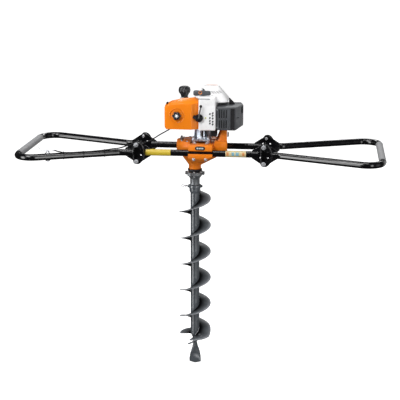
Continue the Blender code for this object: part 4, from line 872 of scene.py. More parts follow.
def build_throttle():
    along = placed(LEVER, SLOPE)
    rim = ((0.0138, 0.009), (0.016, 0.009), (0.0163, 0.0086),
           (0.0163, -0.0086), (0.016, -0.009), (0.0138, -0.009))
    show(moved(ring("throttle_band", rim, axis="X"), along), BLACK_PAINT, "left_handle")
    parts = [
        box("base", (-0.007, -0.0072, 0.0145), (0.007, 0.0072, 0.017), 0.0006),
        box("ear", (-0.0055, -0.007, 0.0155), (0.0055, -0.0042, 0.028), 0.0011),
        box("ear", (-0.0055, 0.0042, 0.0155), (0.0055, 0.007, 0.028), 0.0011),
        hex_bolt("pin_head", (0, -0.007, LEVER_PIN_Z), FRONT, 0.003, 0.0018),
        hex_bolt("pin_nut", (0, 0.007, LEVER_PIN_Z), "Y", 0.003, 0.0018),
        rod("pin", (0, -0.0072, LEVER_PIN_Z), (0, 0.0072, LEVER_PIN_Z), 0.0018),
        box("lug", (-0.005, -0.006, -0.0205), (0.005, 0.006, -0.0155), 0.0008),
        rod("screw", (0, 0, -0.0235), (0, 0, -0.015), 0.0028, edge=0.0004),
    ]
    show(moved(merge("throttle_clamp", *parts), along), ZINC, "left_handle", "throttle_bracket")
    top = ((0.022, 0.0012), (0.01, 0.0044), (0, 0.0046), (-0.01, 0.0022), (-0.021, 0.0044), (-0.029, 0.011),
           (-0.0362, 0.0193))
    low = ((-0.0378, 0.0172), (-0.031, 0.0065), (-0.022, -0.0004), (-0.012, -0.0026), (0.0, -0.004),
           (0.008, -0.0034), (0.022, -0.0018))
    outline = smooth_path(top, 6) + smooth_path(low, 6)
    blade = prism("throttle_blade", outline, 0.0062, (0, 0, LEVER_PIN_Z), "Y", 0.0007)
    show(moved(blade, along), ZINC, "throttle", "throttle_lever")
    build_cable()


def build_cable():
    cable = pipe("throttle_cable", smooth_path(CABLE_ROUTE, 12), CABLE_R, 16)
    show_blended(
        cable, SOFT_BLACK, ("frame", "left_handle"), "black_plastic",
        "throttle_cable_frame", "throttle_cable_handle",
        start=(-0.212, 0, 0), end=(-0.248, 0, 0),
    )
    tip = Vector(CABLE_ROUTE[-1])
    ferrule = rod("cable_ferrule", tip, tip + Vector((-0.008, -0.0045, 0.0012)), 0.0031, 0.0022, 24, 0.0004)
    show(ferrule, ZINC, "left_handle")
    ties = []
    for x, lean in ((-0.36, 30), (-0.44, 42), (-0.515, 28)):  # where, and the cable's place round the tube
        path = []
        for t in (math.tau * i / 60 for i in range(61)):
            reach = 0.0146 + 0.0054 * math.exp(-((t - math.pi + math.radians(lean)) / 0.42) ** 2)
            path.append((0, -reach * math.sin(t), -reach * math.cos(t)))
        y = (CORNER_Y - GRIP_TUBE_Y) * (x - RUN_X0) / RUN_LENGTH - GRIP_TUBE_Y
        ties.append(moved(pipe("tie", path, 0.001, 8), placed((x, y, 0), SLOPE)))
    show(merge("cable_ties", *ties), SOFT_BLACK, "left_handle")


# --- gearbox and clutch ---

CRANK_X = 0.03175
CASE_SCREWS = ((-0.05, -0.04), (-0.05, 0.04), (-0.026, -0.056), (-0.026, 0.056))
BRACKET_SCREWS = ((0.1387, -0.03, 0.066), (0.1345, 0.022, 0.066))
PLUG_AT = (-0.0555, 0.002, 0)
FEET = ((-0.002, -0.032), (0.0595, -0.032), (0.0595, 0.032), (-0.002, 0.032))
WINDOW_TURNS = (-84, -60, 6, 30, 96, 120, 186, 210)
RIB_TURNS = (-114, -72, -30, 18, 62, 108, 152, 198)


def build_gearbox():
    dress(ORANGE_PAINT, "gearbox_cover", "gearbox_housing", edge=0.0009)
    screws = [hex_bolt("case_screw", (x, y, 0.0396), "Z", 0.0042, 0.0034, 0.0052) for x, y in CASE_SCREWS]
    for side in (-1, 1):
        for x in (0.0067, 0.0562):
            out = (0, side * 0.78, -0.62)
            screws.append(hex_bolt("clamp_screw", (x, side * 0.1022, -0.0222), out, 0.0058, 0.0044, 0.0078))
            screws.append(hex_bolt("clamp_nut", (x, side * 0.0635, 0.0361), "Z", 0.0052, 0.004, 0.007))
    screws += [hex_bolt("bracket_screw", at, "X", 0.0052, 0.004, 0.0072) for at in BRACKET_SCREWS]
    show(merge("gearbox_screws", *screws), ZINC, "frame")
    x, y, _ = PLUG_AT
    vent = [(0.004, 0.056), (0.0048, 0.0552), (0.0048, 0.0455), (0.004, 0.044)]
    plug = [hex_bolt("plug", (x, y, 0.0396), "Z", 0.0072, 0.0066, 0.0085), turned("vent", vent, PLUG_AT)]
    show(merge("breather_plug", *plug), FLANGE_PAINT, "frame")
    rim = [(x, y, 0.0395) for x, y in arc((0, 0), (0.0735, 0.0645), 104, 256, 60)]
    show(pipe("lobe_rim", rim, 0.002, 12), ORANGE_PAINT, "frame")
    capsule = rounded_rectangle((0.0125, 0.016), (0.054, 0.0325), 0.008, 12)
    show(prism("badge", capsule, 0.0014, (0, -0.1065, 0), "Y", 0.0004), BADGE_FILM, "frame")
    bars = [
        box("bar", (x0, -0.1076, 0.0215), (x1, -0.107, 0.027), 0.0002, 1)
        for x0, x1 in ((0.0195, 0.0275), (0.029, 0.037), (0.0385, 0.047))
    ]
    show(merge("badge_bars", *bars), PALE_PRINT, "frame")
    dress(STEEL, "spindle_bearing", "input_shaft", "layshaft", "output_gear")


def build_clutch():
    """The bell on its flange, with four pairs of narrow windows and ribs that run down between them."""
    centre = (CRANK_X, 0, 0)
    bell = turned("clutch_bell", [
        (0.029, 0.0905), (0.0302, 0.0895), (0.0306, 0.086), (0.033, 0.07), (0.0347, 0.053),
        (0.037, 0.05), (0.037, 0.045),
    ], centre, steps=64)
    windows = []
    for degrees in WINDOW_TURNS:
        window = box("window", (0.018, -0.0034, 0.0575), (0.045, 0.0034, 0.086), 0.0015)
        windows.append(moved(window, placed(centre, degrees)))
    cut(bell, rod("room", (CRANK_X, 0, 0.0535), (CRANK_X, 0, 0.1), 0.027, sides=64),
        rod("bore", (CRANK_X, 0, 0.03), (CRANK_X, 0, 0.07), 0.0055), *windows)
    outline = rounded_rectangle((-0.0088, -0.0385), (0.0665, 0.0385), 0.006)
    flange = prism("flange", outline, 0.009, (0, 0, 0.045), edge=0.0012)
    cut(flange, rod("hole", (CRANK_X, 0, 0.03), (CRANK_X, 0, 0.06), 0.03, sides=64))
    parts = [bell, flange]
    parts += [rod("foot", (x, y, 0.0322), (x, y, 0.054), 0.0064, edge=0.0006) for x, y in FEET]
    rib_side = ((0.031, 0.086), (0.0325, 0.086), (0.0385, 0.049), (0.031, 0.049))
    for degrees in RIB_TURNS:
        rib = hull("rib", drawn_along_y(rib_side, -0.0018, 0.0018), 0.0006)
        parts.append(moved(rib, placed(centre, degrees)))
    show(merge("clutch_bell", *parts), CAST_ALUMINIUM, "frame", "clutch_housing")
    screws = [hex_bolt("bell_screw", (x, y, 0.0541), "Z", 0.0048, 0.0042, 0.0062) for x, y in FEET]
    show(merge("bell_screws", *screws), ZINC, "frame")
    show(box("engine_mount", (0.07, -0.054, 0.064), (0.0965, -0.018, 0.094), 0.004), SOFT_BLACK, "frame")
    dress(DARK_STEEL, "clutch_drum", "clutch_hub")


# --- spindle, coupling and drill bit ---

PIN_Z = -0.158
CORE_R, SOCKET_R = 0.019, 0.0155
FLIGHT_PITCH, FLIGHT_Z, FLIGHT_R = 0.116, -0.214, 0.0678
SOCKET_TOP_Z, SOCKET_FOOT_Z = -0.14, -0.195
COUPLING_FOOT_Z = -0.186  # below it the bit's core is thinner


def build_spindle():
    seal = ring("seal", [
        (0.0124, -0.075), (0.0198, -0.075), (0.0198, -0.0824), (0.029, -0.0824), (0.03, -0.0834),
        (0.03, -0.0886), (0.029, -0.0895), (0.0272, -0.09), (0.0268, -0.0955), (0.026, -0.0962),
        (0.0124, -0.0962),
    ])
    show(seal, SOFT_BLACK, "frame", "spindle_seal")
    body = turned("spindle", [
        (0.011, 0.023), (0.012, 0.022), (0.012, -0.0965), (0.033, -0.0968), (0.0345, -0.098),
        (0.0345, -0.1065), (0.0325, -0.1085), (0.029, -0.11), (0.0275, -0.115), (0.0225, -0.1215),
        (0.0206, -0.125), (0.0205, -0.1505), (0.0195, -0.1517), (0.0152, -0.152), (0.0152, -0.189),
        (0.0142, -0.19),
    ], steps=64)
    parts = [body]
    for i in range(6):
        lug = box("lug", (0.029, -0.0078, -0.1085), (0.0408, 0.0078, -0.0945), 0.0016)
        parts.append(moved(lug, placed((0, 0, 0), 60 * i)))
    show(merge("spindle_flange", *parts), FLANGE_PAINT, "spindle", "output_spindle")
    bolts = []
    for i in range(6):
        turn = math.radians(60 * i + 30)
        bolts.append(hex_bolt("flange_bolt", around(0.03, turn, -0.0967), "Z", 0.0046, 0.004))
        bolts.append(hex_bolt("flange_nut", around(0.03, turn, -0.1095), (0, 0, -1), 0.0046, 0.0036))
    show(merge("flange_bolts", *bolts), ZINC, "spindle")


def helix_z(degrees):
    return FLIGHT_Z + FLIGHT_PITCH * degrees / 360


def helical_plate(name, rows, thickness):
    """A plate with rounded edges and its weld beads. A row is degrees, height, rim height, rim radius."""
    sections, foot = [], []
    half, rim, edge = thickness / 2, thickness / 3, 0.0012
    for degrees, height, rim_height, reach in rows:
        turn = math.radians(degrees)
        inner = 0.0004 + (CORE_R if height < COUPLING_FOOT_Z else 0.0232)
        middle, middle_z = (inner + reach) / 2, (height + rim_height) / 2
        section = (
            (inner, height + half), (middle, middle_z + half * 0.92), (reach - edge, rim_height + rim),
            (reach, rim_height + rim * 0.4), (reach, rim_height - rim * 0.4),
            (reach - edge, rim_height - rim), (middle, middle_z - half * 0.92), (inner, height - half),
        )
        sections.append([around(r, turn, z) for r, z in section])
        foot.append(around(inner, turn, height))
    beads = [
        pipe("bead", [(x, y, z + lift) for x, y, z in foot], 0.0017, 8, 0.16)
        for lift in (-half - 0.0004, half + 0.0004)
    ]
    return loft(name, sections), beads


FIFTH_TURN = -5 * 360
BLADE_RIM = (  # degrees past the flight's fifth turn, and how far the rim drops
    (19.6, 0.0), (8, 0.005), (-6, 0.014), (-18, 0.019), (-32, 0.0165),
    (-45, 0.013), (-60, 0.009), (-75, 0.004), (-90, 0.0005), (-106, -0.0035),
)
COUNTER_Z = -0.814
BLADE_BOLTS = ((-52, 0.011), (-84, 0.002))  # degrees, and the blade's drop there


def build_flights():
    first, last = 100, FIFTH_TURN + 19.8
    steps = round((first - last) / 5)
    rows = []
    for i in range(steps + 1):
        degrees = first + (last - first) * i / steps
        reach = FLIGHT_R - 0.02 * max(0.0, 1 - (first - degrees) / 67)
        rows.append((degrees, helix_z(degrees), helix_z(degrees), reach))
    plate, beads = helical_plate("bit_helix", rows, 0.0042)
    show(plate, LIT_AND_SHADED_FLIGHT_PAINT, "spindle", "bit_flight")
    rows = []
    for past, drop in smooth_path(BLADE_RIM, 5):
        height = helix_z(FIFTH_TURN + past)
        rows.append((past, height, height - drop, FLIGHT_R))
    plate, more = helical_plate("cutting_plate", rows, 0.005)
    show(bevel(plate, 0.0008, 2, 60), LIT_AND_SHADED_FLIGHT_PAINT, "spindle", "cutting_blade")
    rows = [(degrees, COUNTER_Z, COUNTER_Z, 0.066) for degrees in range(192, 109, -4)]
    counter, most = helical_plate("counter_plate", rows, 0.0048)
    show(bevel(counter, 0.0008, 2, 60), LIT_AND_SHADED_FLIGHT_PAINT, "spindle", "counter_blade")
    show(merge("bit_welds", *beads, *more, *most), LIT_AND_SHADED_FLIGHT_PAINT, "spindle")
    line = [
        around(0.0196, math.radians(-10 - 82 * share), -0.786 - 0.035 * share)
        for share in (i / 24 for i in range(25))
    ]
    show(pipe("hardfacing_bead", line, 0.0013, 10, 0.12), STEEL, "spindle")
    bolts = []
    for past, drop in BLADE_BOLTS:
        for radius in (0.036, 0.054):
            share = (radius - CORE_R) / (FLIGHT_R - CORE_R)
            at = around(radius, math.radians(past), helix_z(FIFTH_TURN + past) - drop * share + 0.002)
            bolts.append(hex_bolt("blade_bolt", at, "Z", 0.0048, 0.0034))
    show(merge("blade_bolts", *bolts), BIT_PAINT, "spindle")


def build_bit():
    shaft = turned("bit_core", [
        (0.0262, -0.1523), (0.027, -0.1531), (0.027, -0.1632), (0.0262, -0.1642), (0.0238, -0.1648),
        (0.0235, -0.166), (0.0235, -0.178), (0.0222, -0.1815), (0.0192, -0.1868), (0.019, -0.189),
        (0.019, -0.81), (0.018, -0.816), (0.014, -0.826), (0.0085, -0.837), (0.0075, -0.838),
    ], steps=64)
    lug = box("lug", (-0.0305, -0.007, PIN_Z - 0.0055), (0.0305, 0.007, PIN_Z + 0.0045), 0.0015)
    hole = ((-0.1, 0, PIN_Z), (0.1, 0, PIN_Z), 0.0033)
    socket = ((0, 0, SOCKET_FOOT_Z), (0, 0, SOCKET_TOP_Z), SOCKET_R)
    cut(lug, rod("hole", *hole), rod("socket", *socket, sides=64))
    cut(shaft, rod("socket", *socket, sides=64), rod("hole", *hole))
    show(merge("bit_core", shaft, lug), BIT_PAINT, "spindle", "bit_shaft")

    pin = rod("pin", (-0.048, 0, PIN_Z), (0.034, 0, PIN_Z), 0.003, edge=0.0008)
    eye = pipe("eye", ring_path((-0.053, 0, PIN_Z), 0.0052, "Y", 48), 0.0013, 12)
    stop = rod("stop", (-0.04, 0, PIN_Z), (-0.0375, 0, PIN_Z), 0.0048, edge=0.0005)
    show(merge("locking_pin", pin, eye, stop), ZINC, "pin", "coupling_pin")

    build_flights()
    build_pilot()


PILOT_ROWS = (  # height, half width, half thickness
    (-0.8375, 0.0066, 0.0066), (-0.85, 0.0078, 0.0076), (-0.862, 0.0108, 0.008), (-0.878, 0.016, 0.007),
    (-0.894, 0.0204, 0.006), (-0.91, 0.0233, 0.005), (-0.926, 0.0248, 0.0045), (-0.942, 0.0252, 0.004),
)
PILOT_TWIST, PILOT_STEPS = 75, 5


def build_pilot():
    """The twisted fishtail, its sections smoothed between the CAD's, with a cross blade through its neck."""
    top_z, foot_z = PILOT_ROWS[0][0], PILOT_ROWS[-1][0]
    sections = []
    for z, half, thick in smooth_path(PILOT_ROWS, PILOT_STEPS):
        turn = math.radians(PILOT_TWIST * (z - foot_z) / (top_z - foot_z))
        across, along = math.cos(turn), math.sin(turn)
        outline = squared_oval(half, thick, (0.9, 0.8))
        sections.append([(x * across - y * along, x * along + y * across, z) for x, y in outline])
    foot = sections[-1]
    for share, lift in ((0.75, 0.35), (0.45, 0.75), (0.2, 1.0)):
        sections.append([
            (x * (1 - 0.02 * lift), y * share, z - lift * (0.004 + 0.006 * (1 - abs(x) / 0.0248)))
            for x, y, z in foot
        ])
    tip = loft("fishtail", sections)
    cross = box("cross", (-0.046, -0.0065, -0.0023), (0.033, 0.0065, 0.0023), 0.001)
    moved(cross, placed((0, 0, -0.852), 58) @ placed((0, 0, 0), -20, "X"))
    show(merge("fishtail_point", tip, cross), BIT_PAINT, "spindle", "pilot_tip")


# --- air filter side ---

KNOB_X, KNOB_Z = -0.062, 0.157
CHOKE_X, CHOKE_Z, BALL_R = 0.028, 0.148, 0.0062


def cover_points(inset=0.0):
    """The air filter cover: a flat front, a slanted band on its right and a top that rises to the right."""
    left, right, low = -0.1145 + inset, 0.0235 - inset, 0.1 + inset
    front_y, rear_y = -0.1 + inset, -0.0495 + (0.01 if inset else 0.0)
    heights = [(-0.003, 0.205), (-0.04, 0.206), (-0.088, 0.204), (left + 0.002, 0.192)]
    front = [(left + 0.008, low), (-0.003, low - 0.0005), *((x, z - inset) for x, z in heights),
             (left + 0.002, low + 0.008)]
    heights = [(right, 0.213), (0.019, 0.2225), (0.008, 0.228), (-0.04, 0.223), (-0.088, 0.212),
               (left, 0.198)]
    rear = [(left + 0.006, low), (right, low - 0.001), *((x, z - inset) for x, z in heights),
            (left, low + 0.008)]
    points = [(x, front_y, z) for x, z in front] + [(x, rear_y, z) for x, z in rear]
    points += [(right, -0.078, low - 0.001), (right, -0.078, 0.208 - inset)]
    return [*points, (left, -0.09, 0.19 - inset), (left, -0.09, low + 0.008)]


def build_filter():
    cover = hull("filter_hood", cover_points(), 0.0052)
    dish = [(0.0275, 0), (0.029, 0.0016), (0.0305, 0.003)]
    dish = turned("dish", dish, (KNOB_X, -0.0985, KNOB_Z), FRONT, 64)
    cut(cover, hull("room", cover_points(0.003)), dish, drill(KNOB_X, KNOB_Z, -0.12, -0.08, 0.004))
    show(cover, ORANGE_PLASTIC, "frame", "filter_cover", angle=25)
    rings = [
        ring("ring", oval(0.0016, 0.0012, (radius, 0), 10), (KNOB_X, y, KNOB_Z), "Y", 64)
        for radius, y in ((0.021, -0.0987), (0.0302, -0.1))
    ]
    show(merge("hood_rings", *rings), ORANGE_PLASTIC, "frame")
    low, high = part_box("cover_grommet")
    outline = (
        (low.x + 0.004, low.z), (low.x + 0.009, low.z - 0.002), (low.x + 0.0125, high.z - 0.0065),
        (low.x + 0.0085, high.z - 0.0045), (low.x + 0.004, high.z - 0.008),
    )
    grommet = drawn_along_y(outline, low.y + 0.001, high.y - 0.001)
    show(hull("hood_grommet", grommet, 0.001), SOFT_BLACK, "frame", "cover_grommet")
    plug = [(0.008, 0), (0.0084, 0.005), (0.0072, 0.0064), (0.004, 0.0066)]
    show(turned("hood_plug", plug, (0.0105, -0.09, 0.151), FRONT), SOFT_BLACK, "frame")

    knob = turned("hood_knob", [
        (0.013, 0.0000), (0.0162, 0.0008), (0.0175, 0.0024), (0.0175, 0.0092), (0.0165, 0.0112),
        (0.0135, 0.0122), (0.008, 0.0118), (0.007, 0.01),
    ], (KNOB_X, -0.102, KNOB_Z), FRONT, 96, 6, 0.15)
    stud = rod("stud", (KNOB_X, -0.11, KNOB_Z), (KNOB_X, -0.0895, KNOB_Z), 0.0032)
    show(merge("hood_knob", knob, stud), BLACK_PLASTIC, "knob", "filter_knob")
    nut = [(0.008, 0), (0.008, 0.002), (0.0072, 0.0028), (0.005, 0.0026)]
    show(turned("knob_nut", nut, (KNOB_X, -0.1118, KNOB_Z), FRONT), ZINC, "knob")
    button = [(0.0046, 0), (0.0046, 0.0014), (0.0036, 0.0022), (0.0016, 0.0024)]
    button = turned("knob_button", button, (KNOB_X, -0.1142, KNOB_Z), FRONT, 32)
    show(button, WHITE_PLASTIC, "knob", slot=None)
    dress(FOAM, "air_filter", edge=0.001)
    dress(CAST_ALUMINIUM, "carburettor", edge=0.001)


def build_choke():
    disc = turned("disc", [
        (0.015, 0.0000), (0.0165, 0.0012), (0.0165, 0.0086), (0.0152, 0.0104), (0.011, 0.0108),
        (0.01, 0.009), (0.006, 0.0088), (0.0055, 0.0106), (0.003, 0.011),
    ], (CHOKE_X, -0.091, CHOKE_Z), FRONT, 64)
    shaft = rod("shaft", (CHOKE_X, -0.095, CHOKE_Z), (CHOKE_X, -0.0835, CHOKE_Z), 0.003)
    show(merge("choke_disc", disc, shaft), BLACK_PLASTIC, "choke", "choke_lever")
    arm = ((CHOKE_X, -0.1035, CHOKE_Z), (0.03, -0.1042, 0.16),
           (0.033, -0.1042, 0.178), (0.0358, -0.1035, 0.1935))
    show(pipe("choke_arm", smooth_path(arm, 8), 0.003, 16), GUARD_PLASTIC, "choke")
    half_turn = (math.pi * (i + 0.4) / 16 for i in range(16))
    profile = [(BALL_R * math.sin(t), -BALL_R * math.cos(t)) for t in half_turn]
    show(turned("choke_ball", profile, (0.036, -0.1035, 0.197), FRONT, 32), SOFT_BLACK, "choke")


# --- engine covers, starter, tank and muffler ---

SHROUD_TOP_Z, ENGINE_FLOOR_Z, SHELL_T = 0.204, 0.094, 0.003
GRIP = Vector((0.036, -0.068, 0.2465))
CAP = (-0.0455, 0.022)


def shroud_outline(inset=0.0):
    return [
        (0.0245 + inset, -0.09 + inset), (0.0945 - inset, -0.09 + inset), (0.0945 - inset, 0.128 - inset),
        (-0.018 + inset, 0.128 - inset), (-0.018 + inset, -0.046 + inset), (0.0245 + inset, -0.046 + inset),
    ]


PANEL_Y = -0.0901
PANEL_MARKS = (  # an X, and the heights of its marks
    (0.072, (0.1257, 0.1362, 0.1482, 0.1642)), (0.0835, (0.1222, 0.1332, 0.1462, 0.1582, 0.1682)),
)


def build_shroud():
    height, middle = SHROUD_TOP_Z - ENGINE_FLOOR_Z - 0.0008, (SHROUD_TOP_Z + ENGINE_FLOOR_Z + 0.0008) / 2
    shroud = prism("engine_cover", shroud_outline(), height, (0, 0, middle), edge=0.006, segments=4, angle=60)
    tools = [
        prism("room", shroud_outline(SHELL_T), height, (0, 0, middle - SHELL_T)),
        rod("fan_inlet", (CRANK_X, 0, 0.19), (CRANK_X, 0, 0.22), 0.03, sides=64),
        box("carburettor_gap", (-0.03, -0.036, 0.08), (0.0, 0.002, 0.158)),
        box("exhaust_gap", (0.08, 0.03, 0.114), (0.11, 0.051, 0.138)),
        drill(CHOKE_X, CHOKE_Z, -0.1, -0.08, 0.0034),
        drill(CRANK_X, 0.126, 0.11, 0.14, 0.018, 48),
    ]
    for z in (0.106 + 0.017 * i for i in range(5)):
        tools.append(box("slot", (0.08, 0.074, z), (0.11, 0.116, z + 0.006), 0.0015))
        tools.append(box("slot", (-0.03, 0.06, z), (-0.01, 0.112, z + 0.006), 0.0015))
    show(cut(shroud, *tools), WHITE_PLASTIC, "frame", "engine_shroud")
    bulb = [(0.0032, 0), (0.003, 0.0012), (0.002, 0.0022), (0.0008, 0.0026)]
    show(turned("primer_bulb", bulb, (0.0541, -0.0899, 0.148), FRONT, 24), LIME, "frame")
    marks = [
        moved(box("mark", (-0.003, -0.0003, -0.004), (0.003, 0.0003, 0.004), 0.0002, 1),
              placed((x, PANEL_Y, z), 24, "Y"))
        for x, heights in PANEL_MARKS for z in heights
    ]
    show(merge("panel_marks", *marks), DARK_PRINT_AND_SHADE, "frame")
    dress(CAST_ALUMINIUM, "crankcase", "cylinder", "flywheel")
    dress(STEEL, "crankshaft")
    dress(ZINC, "spark_plug")


def dome_points(inset=0.0):
    """The starter cover's dome: a wide foot on the engine cover, narrowing to a flat top."""
    levels = (
        ((0.0, -0.046), (0.139, 0.1), 0.028, SHROUD_TOP_Z + 0.0003 - (0.002 if inset else 0.0)),
        ((0.001, -0.044), (0.135, 0.096), 0.028, 0.213 - inset / 2),
        ((0.036, -0.012), (0.098, 0.054), 0.022, 0.2643 - inset),
    )
    return [
        (x, y, height) for (x0, y0), (x1, y1), radius, height in levels
        for x, y in rounded_rectangle((x0 + inset, y0 + inset), (x1 - inset, y1 - inset), radius, 7)
    ]


def louvre(at, length, angle, span_y):
    """A tool for one slot in the dome, leaning by an angle in degrees from +X down to the right."""
    slot = box("louvre", (-length / 2, -span_y / 2, -0.0014), (length / 2, span_y / 2, 0.0014), 0.0011, 2)
    return moved(slot, placed(at, angle, "Y"))


def build_starter():
    dome = hull("dome", dome_points(), 0.0022, 3, 30)
    cut(dome, hull("room", dome_points(SHELL_T)), drill(GRIP.x, GRIP.z, -0.1, 0.0, 0.0034))
    cut(dome,
        *(louvre((0.0635 + 0.0108 * i, -0.024, 0.2445), 0.026 - 0.0022 * i, 37, 0.052) for i in range(5)),
        *(louvre((0.03 + 0.0115 * i, 0.076, 0.24), 0.024, -37, 0.06) for i in range(6)))
    show(dome, WHITE_PLASTIC, "frame", "starter_cover", angle=40)
    outline = rounded_rectangle((0.0247, -0.0897), (0.0942, 0.02), 0.0075)
    deck = prism("starter_deck", outline, 0.0433, (0, 0, 0.21165), edge=0.005, segments=4)
    cut(deck, box("room", (0.0285, -0.084, 0.18), (0.09, 0.012, 0.229)),
        drill(GRIP.x, 0.2188, 0.0, 0.05, 0.02))
    show(deck, WHITE_PLASTIC, "frame")
    # Painted shade: a dark bar along the deck's front edge for the shadow in the gap between the deck and the
    # engine cover.
    line = ((0.0246, -0.08, 0.225), (0.025, -0.087, 0.2252), (0.031, -0.0895, 0.2254),
            (0.05, -0.0896, 0.2256), (0.072, -0.0896, 0.2254))
    show(pipe("deck_shadow_line", smooth_path(line, 8), 0.0014, 12), DARK_PRINT_AND_SHADE, "frame")
    rim = ((0.044, 0.044, 0.2641), (0.052, 0.0468, 0.2643), (0.082, 0.0468, 0.2643), (0.09, 0.044, 0.2641))
    show(pipe("dome_trim", smooth_path(rim, 8), 0.0011, 10), COPPER, "frame")
    post = rod("pulley_post", (CRANK_X, 0, 0.215), (CRANK_X, 0, 0.257), 0.0038, edge=0.0004)
    show(post, STEEL, "frame", slot=None)
    eyelet = ring("rope_eyelet", oval(0.0018, 0.0018, (0.0052, 0)), (GRIP.x, -0.0245, GRIP.z), "Y", 40)
    show(eyelet, SOFT_BLACK, "frame")
    dress(BLACK_PLASTIC, "starter_pulley")


GRIP_ROWS = (  # along X, half depth, half height
    (-0.034, 0.0052, 0.006), (-0.0325, 0.0072, 0.0086), (-0.028, 0.0086, 0.011), (-0.018, 0.009, 0.0115),
    (-0.008, 0.0086, 0.0104), (0.002, 0.0088, 0.0112), (0.012, 0.0088, 0.0112), (0.022, 0.0084, 0.0096),
    (0.03, 0.0082, 0.0096), (0.0342, 0.0068, 0.008), (0.036, 0.0048, 0.0056),
)
ROPE_R, ROPE_START_Y, ROPE_RUN = 0.0018, -0.052, 0.0385


def build_grip():
    """The pull grip, thicker at its ends and middle, with the rope's neck behind it."""
    sections = [
        [(GRIP.x + x, GRIP.y + y, GRIP.z + z) for y, z in squared_oval(deep, tall, (0.6, 0.6))]
        for x, deep, tall in smooth_path(GRIP_ROWS, 4)
    ]
    neck = rod("neck", GRIP, GRIP + Vector((0, 0.016, 0)), 0.0062, 0.0042, edge=0.0006)
    bump = hull("bump", [
        (GRIP.x + x, GRIP.y + y, z)
        for x0, x1, reach, z in ((0.001, 0.014, 0.006, 0.256), (0.004, 0.01, 0.003, 0.2652))
        for x in (x0, x1) for y in (-reach, reach)
    ], 0.0018)
    show(merge("pull_grip", loft("bar", sections), neck, bump), GUARD_PLASTIC, "grip", "starter_grip")
    hoop = ring("grip_ring", oval(0.0019, 0.0019, (0.006, 0)), (0.0315, -0.0762, 0.2495), "Y", 40)
    show(hoop, COPPER, "grip")
    path = [(GRIP.x, ROPE_START_Y + ROPE_RUN * i / 30, GRIP.z) for i in range(31)]
    show_blended(
        pipe("pull_rope", path, ROPE_R, 12), ROPE, ("frame", "grip"), "filter_foam", "starter_rope",
        start=(GRIP.x, -0.0145, GRIP.z), end=(GRIP.x, -0.0505, GRIP.z),
    )


def build_tank():
    dress(TANK_PLASTIC, "fuel_tank", edge=0.001)
    profile = smooth_path((
        (0.013, 0.2098), (0.014, 0.2125), (0.0146, 0.2185), (0.0172, 0.2262), (0.023, 0.2345),
        (0.0252, 0.243), (0.0243, 0.2505), (0.0212, 0.2572), (0.015, 0.2612),
    ), 5)
    profile += [(0.012, 0.2606), (0.01, 0.259)]
    cap = turned("filler_cap", profile, (*CAP, 0), steps=112, lobes=7, depth=0.13)
    show(cap, BLACK_PLASTIC, "cap", "fuel_cap", angle=50)
    collar = oval(0.0038, 0.003, (0.0175, 0.2078))
    show(ring("filler_collar", collar, (*CAP, 0), "Z", 64), WHITE_PLASTIC, "frame")


def guard_outline(inset=0.0):
    return [
        (0.0965 + inset, -0.08 + inset), (0.175 - inset, -0.08 + inset), (0.201 - inset, 0.008),
        (0.19 - inset, 0.062 - inset), (0.0965 + inset, 0.062 - inset),
    ]


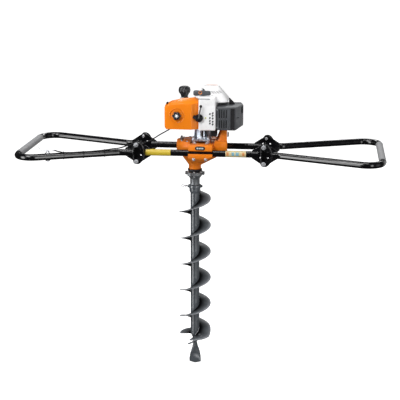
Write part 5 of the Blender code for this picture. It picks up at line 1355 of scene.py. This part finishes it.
def build_muffler():
    low, high, thick = 0.0955, 0.192, 0.0014
    middle = (low + high) / 2
    guard = prism("muffler_cover", guard_outline(), high - low, (0, 0, middle), edge=0.005, segments=4)
    foot = ((0.172, 0.09), (0.172, 0.0953), (0.21, 0.1075), (0.21, 0.09))
    tools = [
        prism("room", guard_outline(SHELL_T), high - low - 2 * SHELL_T, (-0.006, 0, middle)),
        box("band", (0.1545, -0.09, 0.0995), (0.1725, -0.0785, 0.187), 0.0012),
        hull("foot", drawn_along_y(foot, -0.1, 0.08)),
        box("outlet", (0.182, -0.015, 0.154), (0.21, 0.0065, 0.184), 0.003),
        box("outlet_slot", (0.178, -0.062, 0.142), (0.205, -0.042, 0.147), 0.0015),
    ]
    for z0, z1 in ((0.104, 0.138), (0.146, 0.18)):
        for count, x, pitch, width, y0, y1 in (
            (4, 0.108, 0.0092, 0.0045, -0.09, -0.07), (5, 0.112, 0.012, 0.006, 0.05, 0.07),
        ):
            starts = (x + pitch * i for i in range(count))
            tools += [box("slot", (x0, y0, z0), (x0 + width, y1, z1), 0.0014) for x0 in starts]
    show(cut(guard, *tools), GUARD_PLASTIC, "frame", "muffler_guard")
    ribs = [
        box("rib", (0.1035, -0.0812, z - thick), (0.1475, -0.079, z + thick), 0.0006)
        for z in (0.1005, 0.142, 0.1845)
    ]
    ribs += [
        box("rib", (x - thick, -0.0812, 0.0995), (x + thick, -0.079, 0.1855), 0.0006)
        for x in (0.1035, 0.1148, 0.124, 0.1332, 0.1475)
    ]
    show(merge("guard_ribs", *ribs), GUARD_PLASTIC, "frame")
    # Painted shade: black sheets in the recess band and behind the slots, for the shade in them.
    dark = [box("band", (0.155, -0.0794, 0.1), (0.172, -0.0786, 0.1865), 0.0003, 1),
            box("screen", (0.102, -0.0762, 0.1), (0.15, -0.0754, 0.184), 0.0003, 1)]
    show(merge("guard_shade_sheets", *dark), SOFT_BLACK, "frame")
    outline = ((0.1425, 0.189), (0.166, 0.189), (0.166, 0.197), (0.148, 0.215), (0.1425, 0.2205))
    show(prism("guard_hook", outline, 0.012, normal="Y", edge=0.0016), SOFT_BLACK, "frame")
    # The outlet pipe is near-black, not steel: soot, together with painted shade for the dark inside of the
    # outlet.
    wall = ((0.0085, 0), (0.01, 0), (0.01, 0.018), (0.0085, 0.018))
    outlet = ring("outlet_pipe", wall, (0.178, -0.0045, 0.169), "X", 40)
    show(outlet, SOFT_BLACK, "frame", slot="steel")
    rivet = ((0.0026, 0), (0.0024, 0.0008), (0.0012, 0.0013))
    rivets = [turned("rivet", rivet, (0.1005, -0.0799, z), FRONT, 20) for z in (0.107, 0.18)]
    show(merge("guard_rivets", *rivets), ZINC, "frame")
    dress(STEEL, "muffler", edge=0.001)


build_camera()
build_stage()
build_lights()
build_frame()
build_films()
build_throttle()
build_gearbox()
build_clutch()
build_spindle()
build_bit()
build_filter()
build_choke()
build_shroud()
build_starter()
build_grip()
build_tank()
build_muffler()
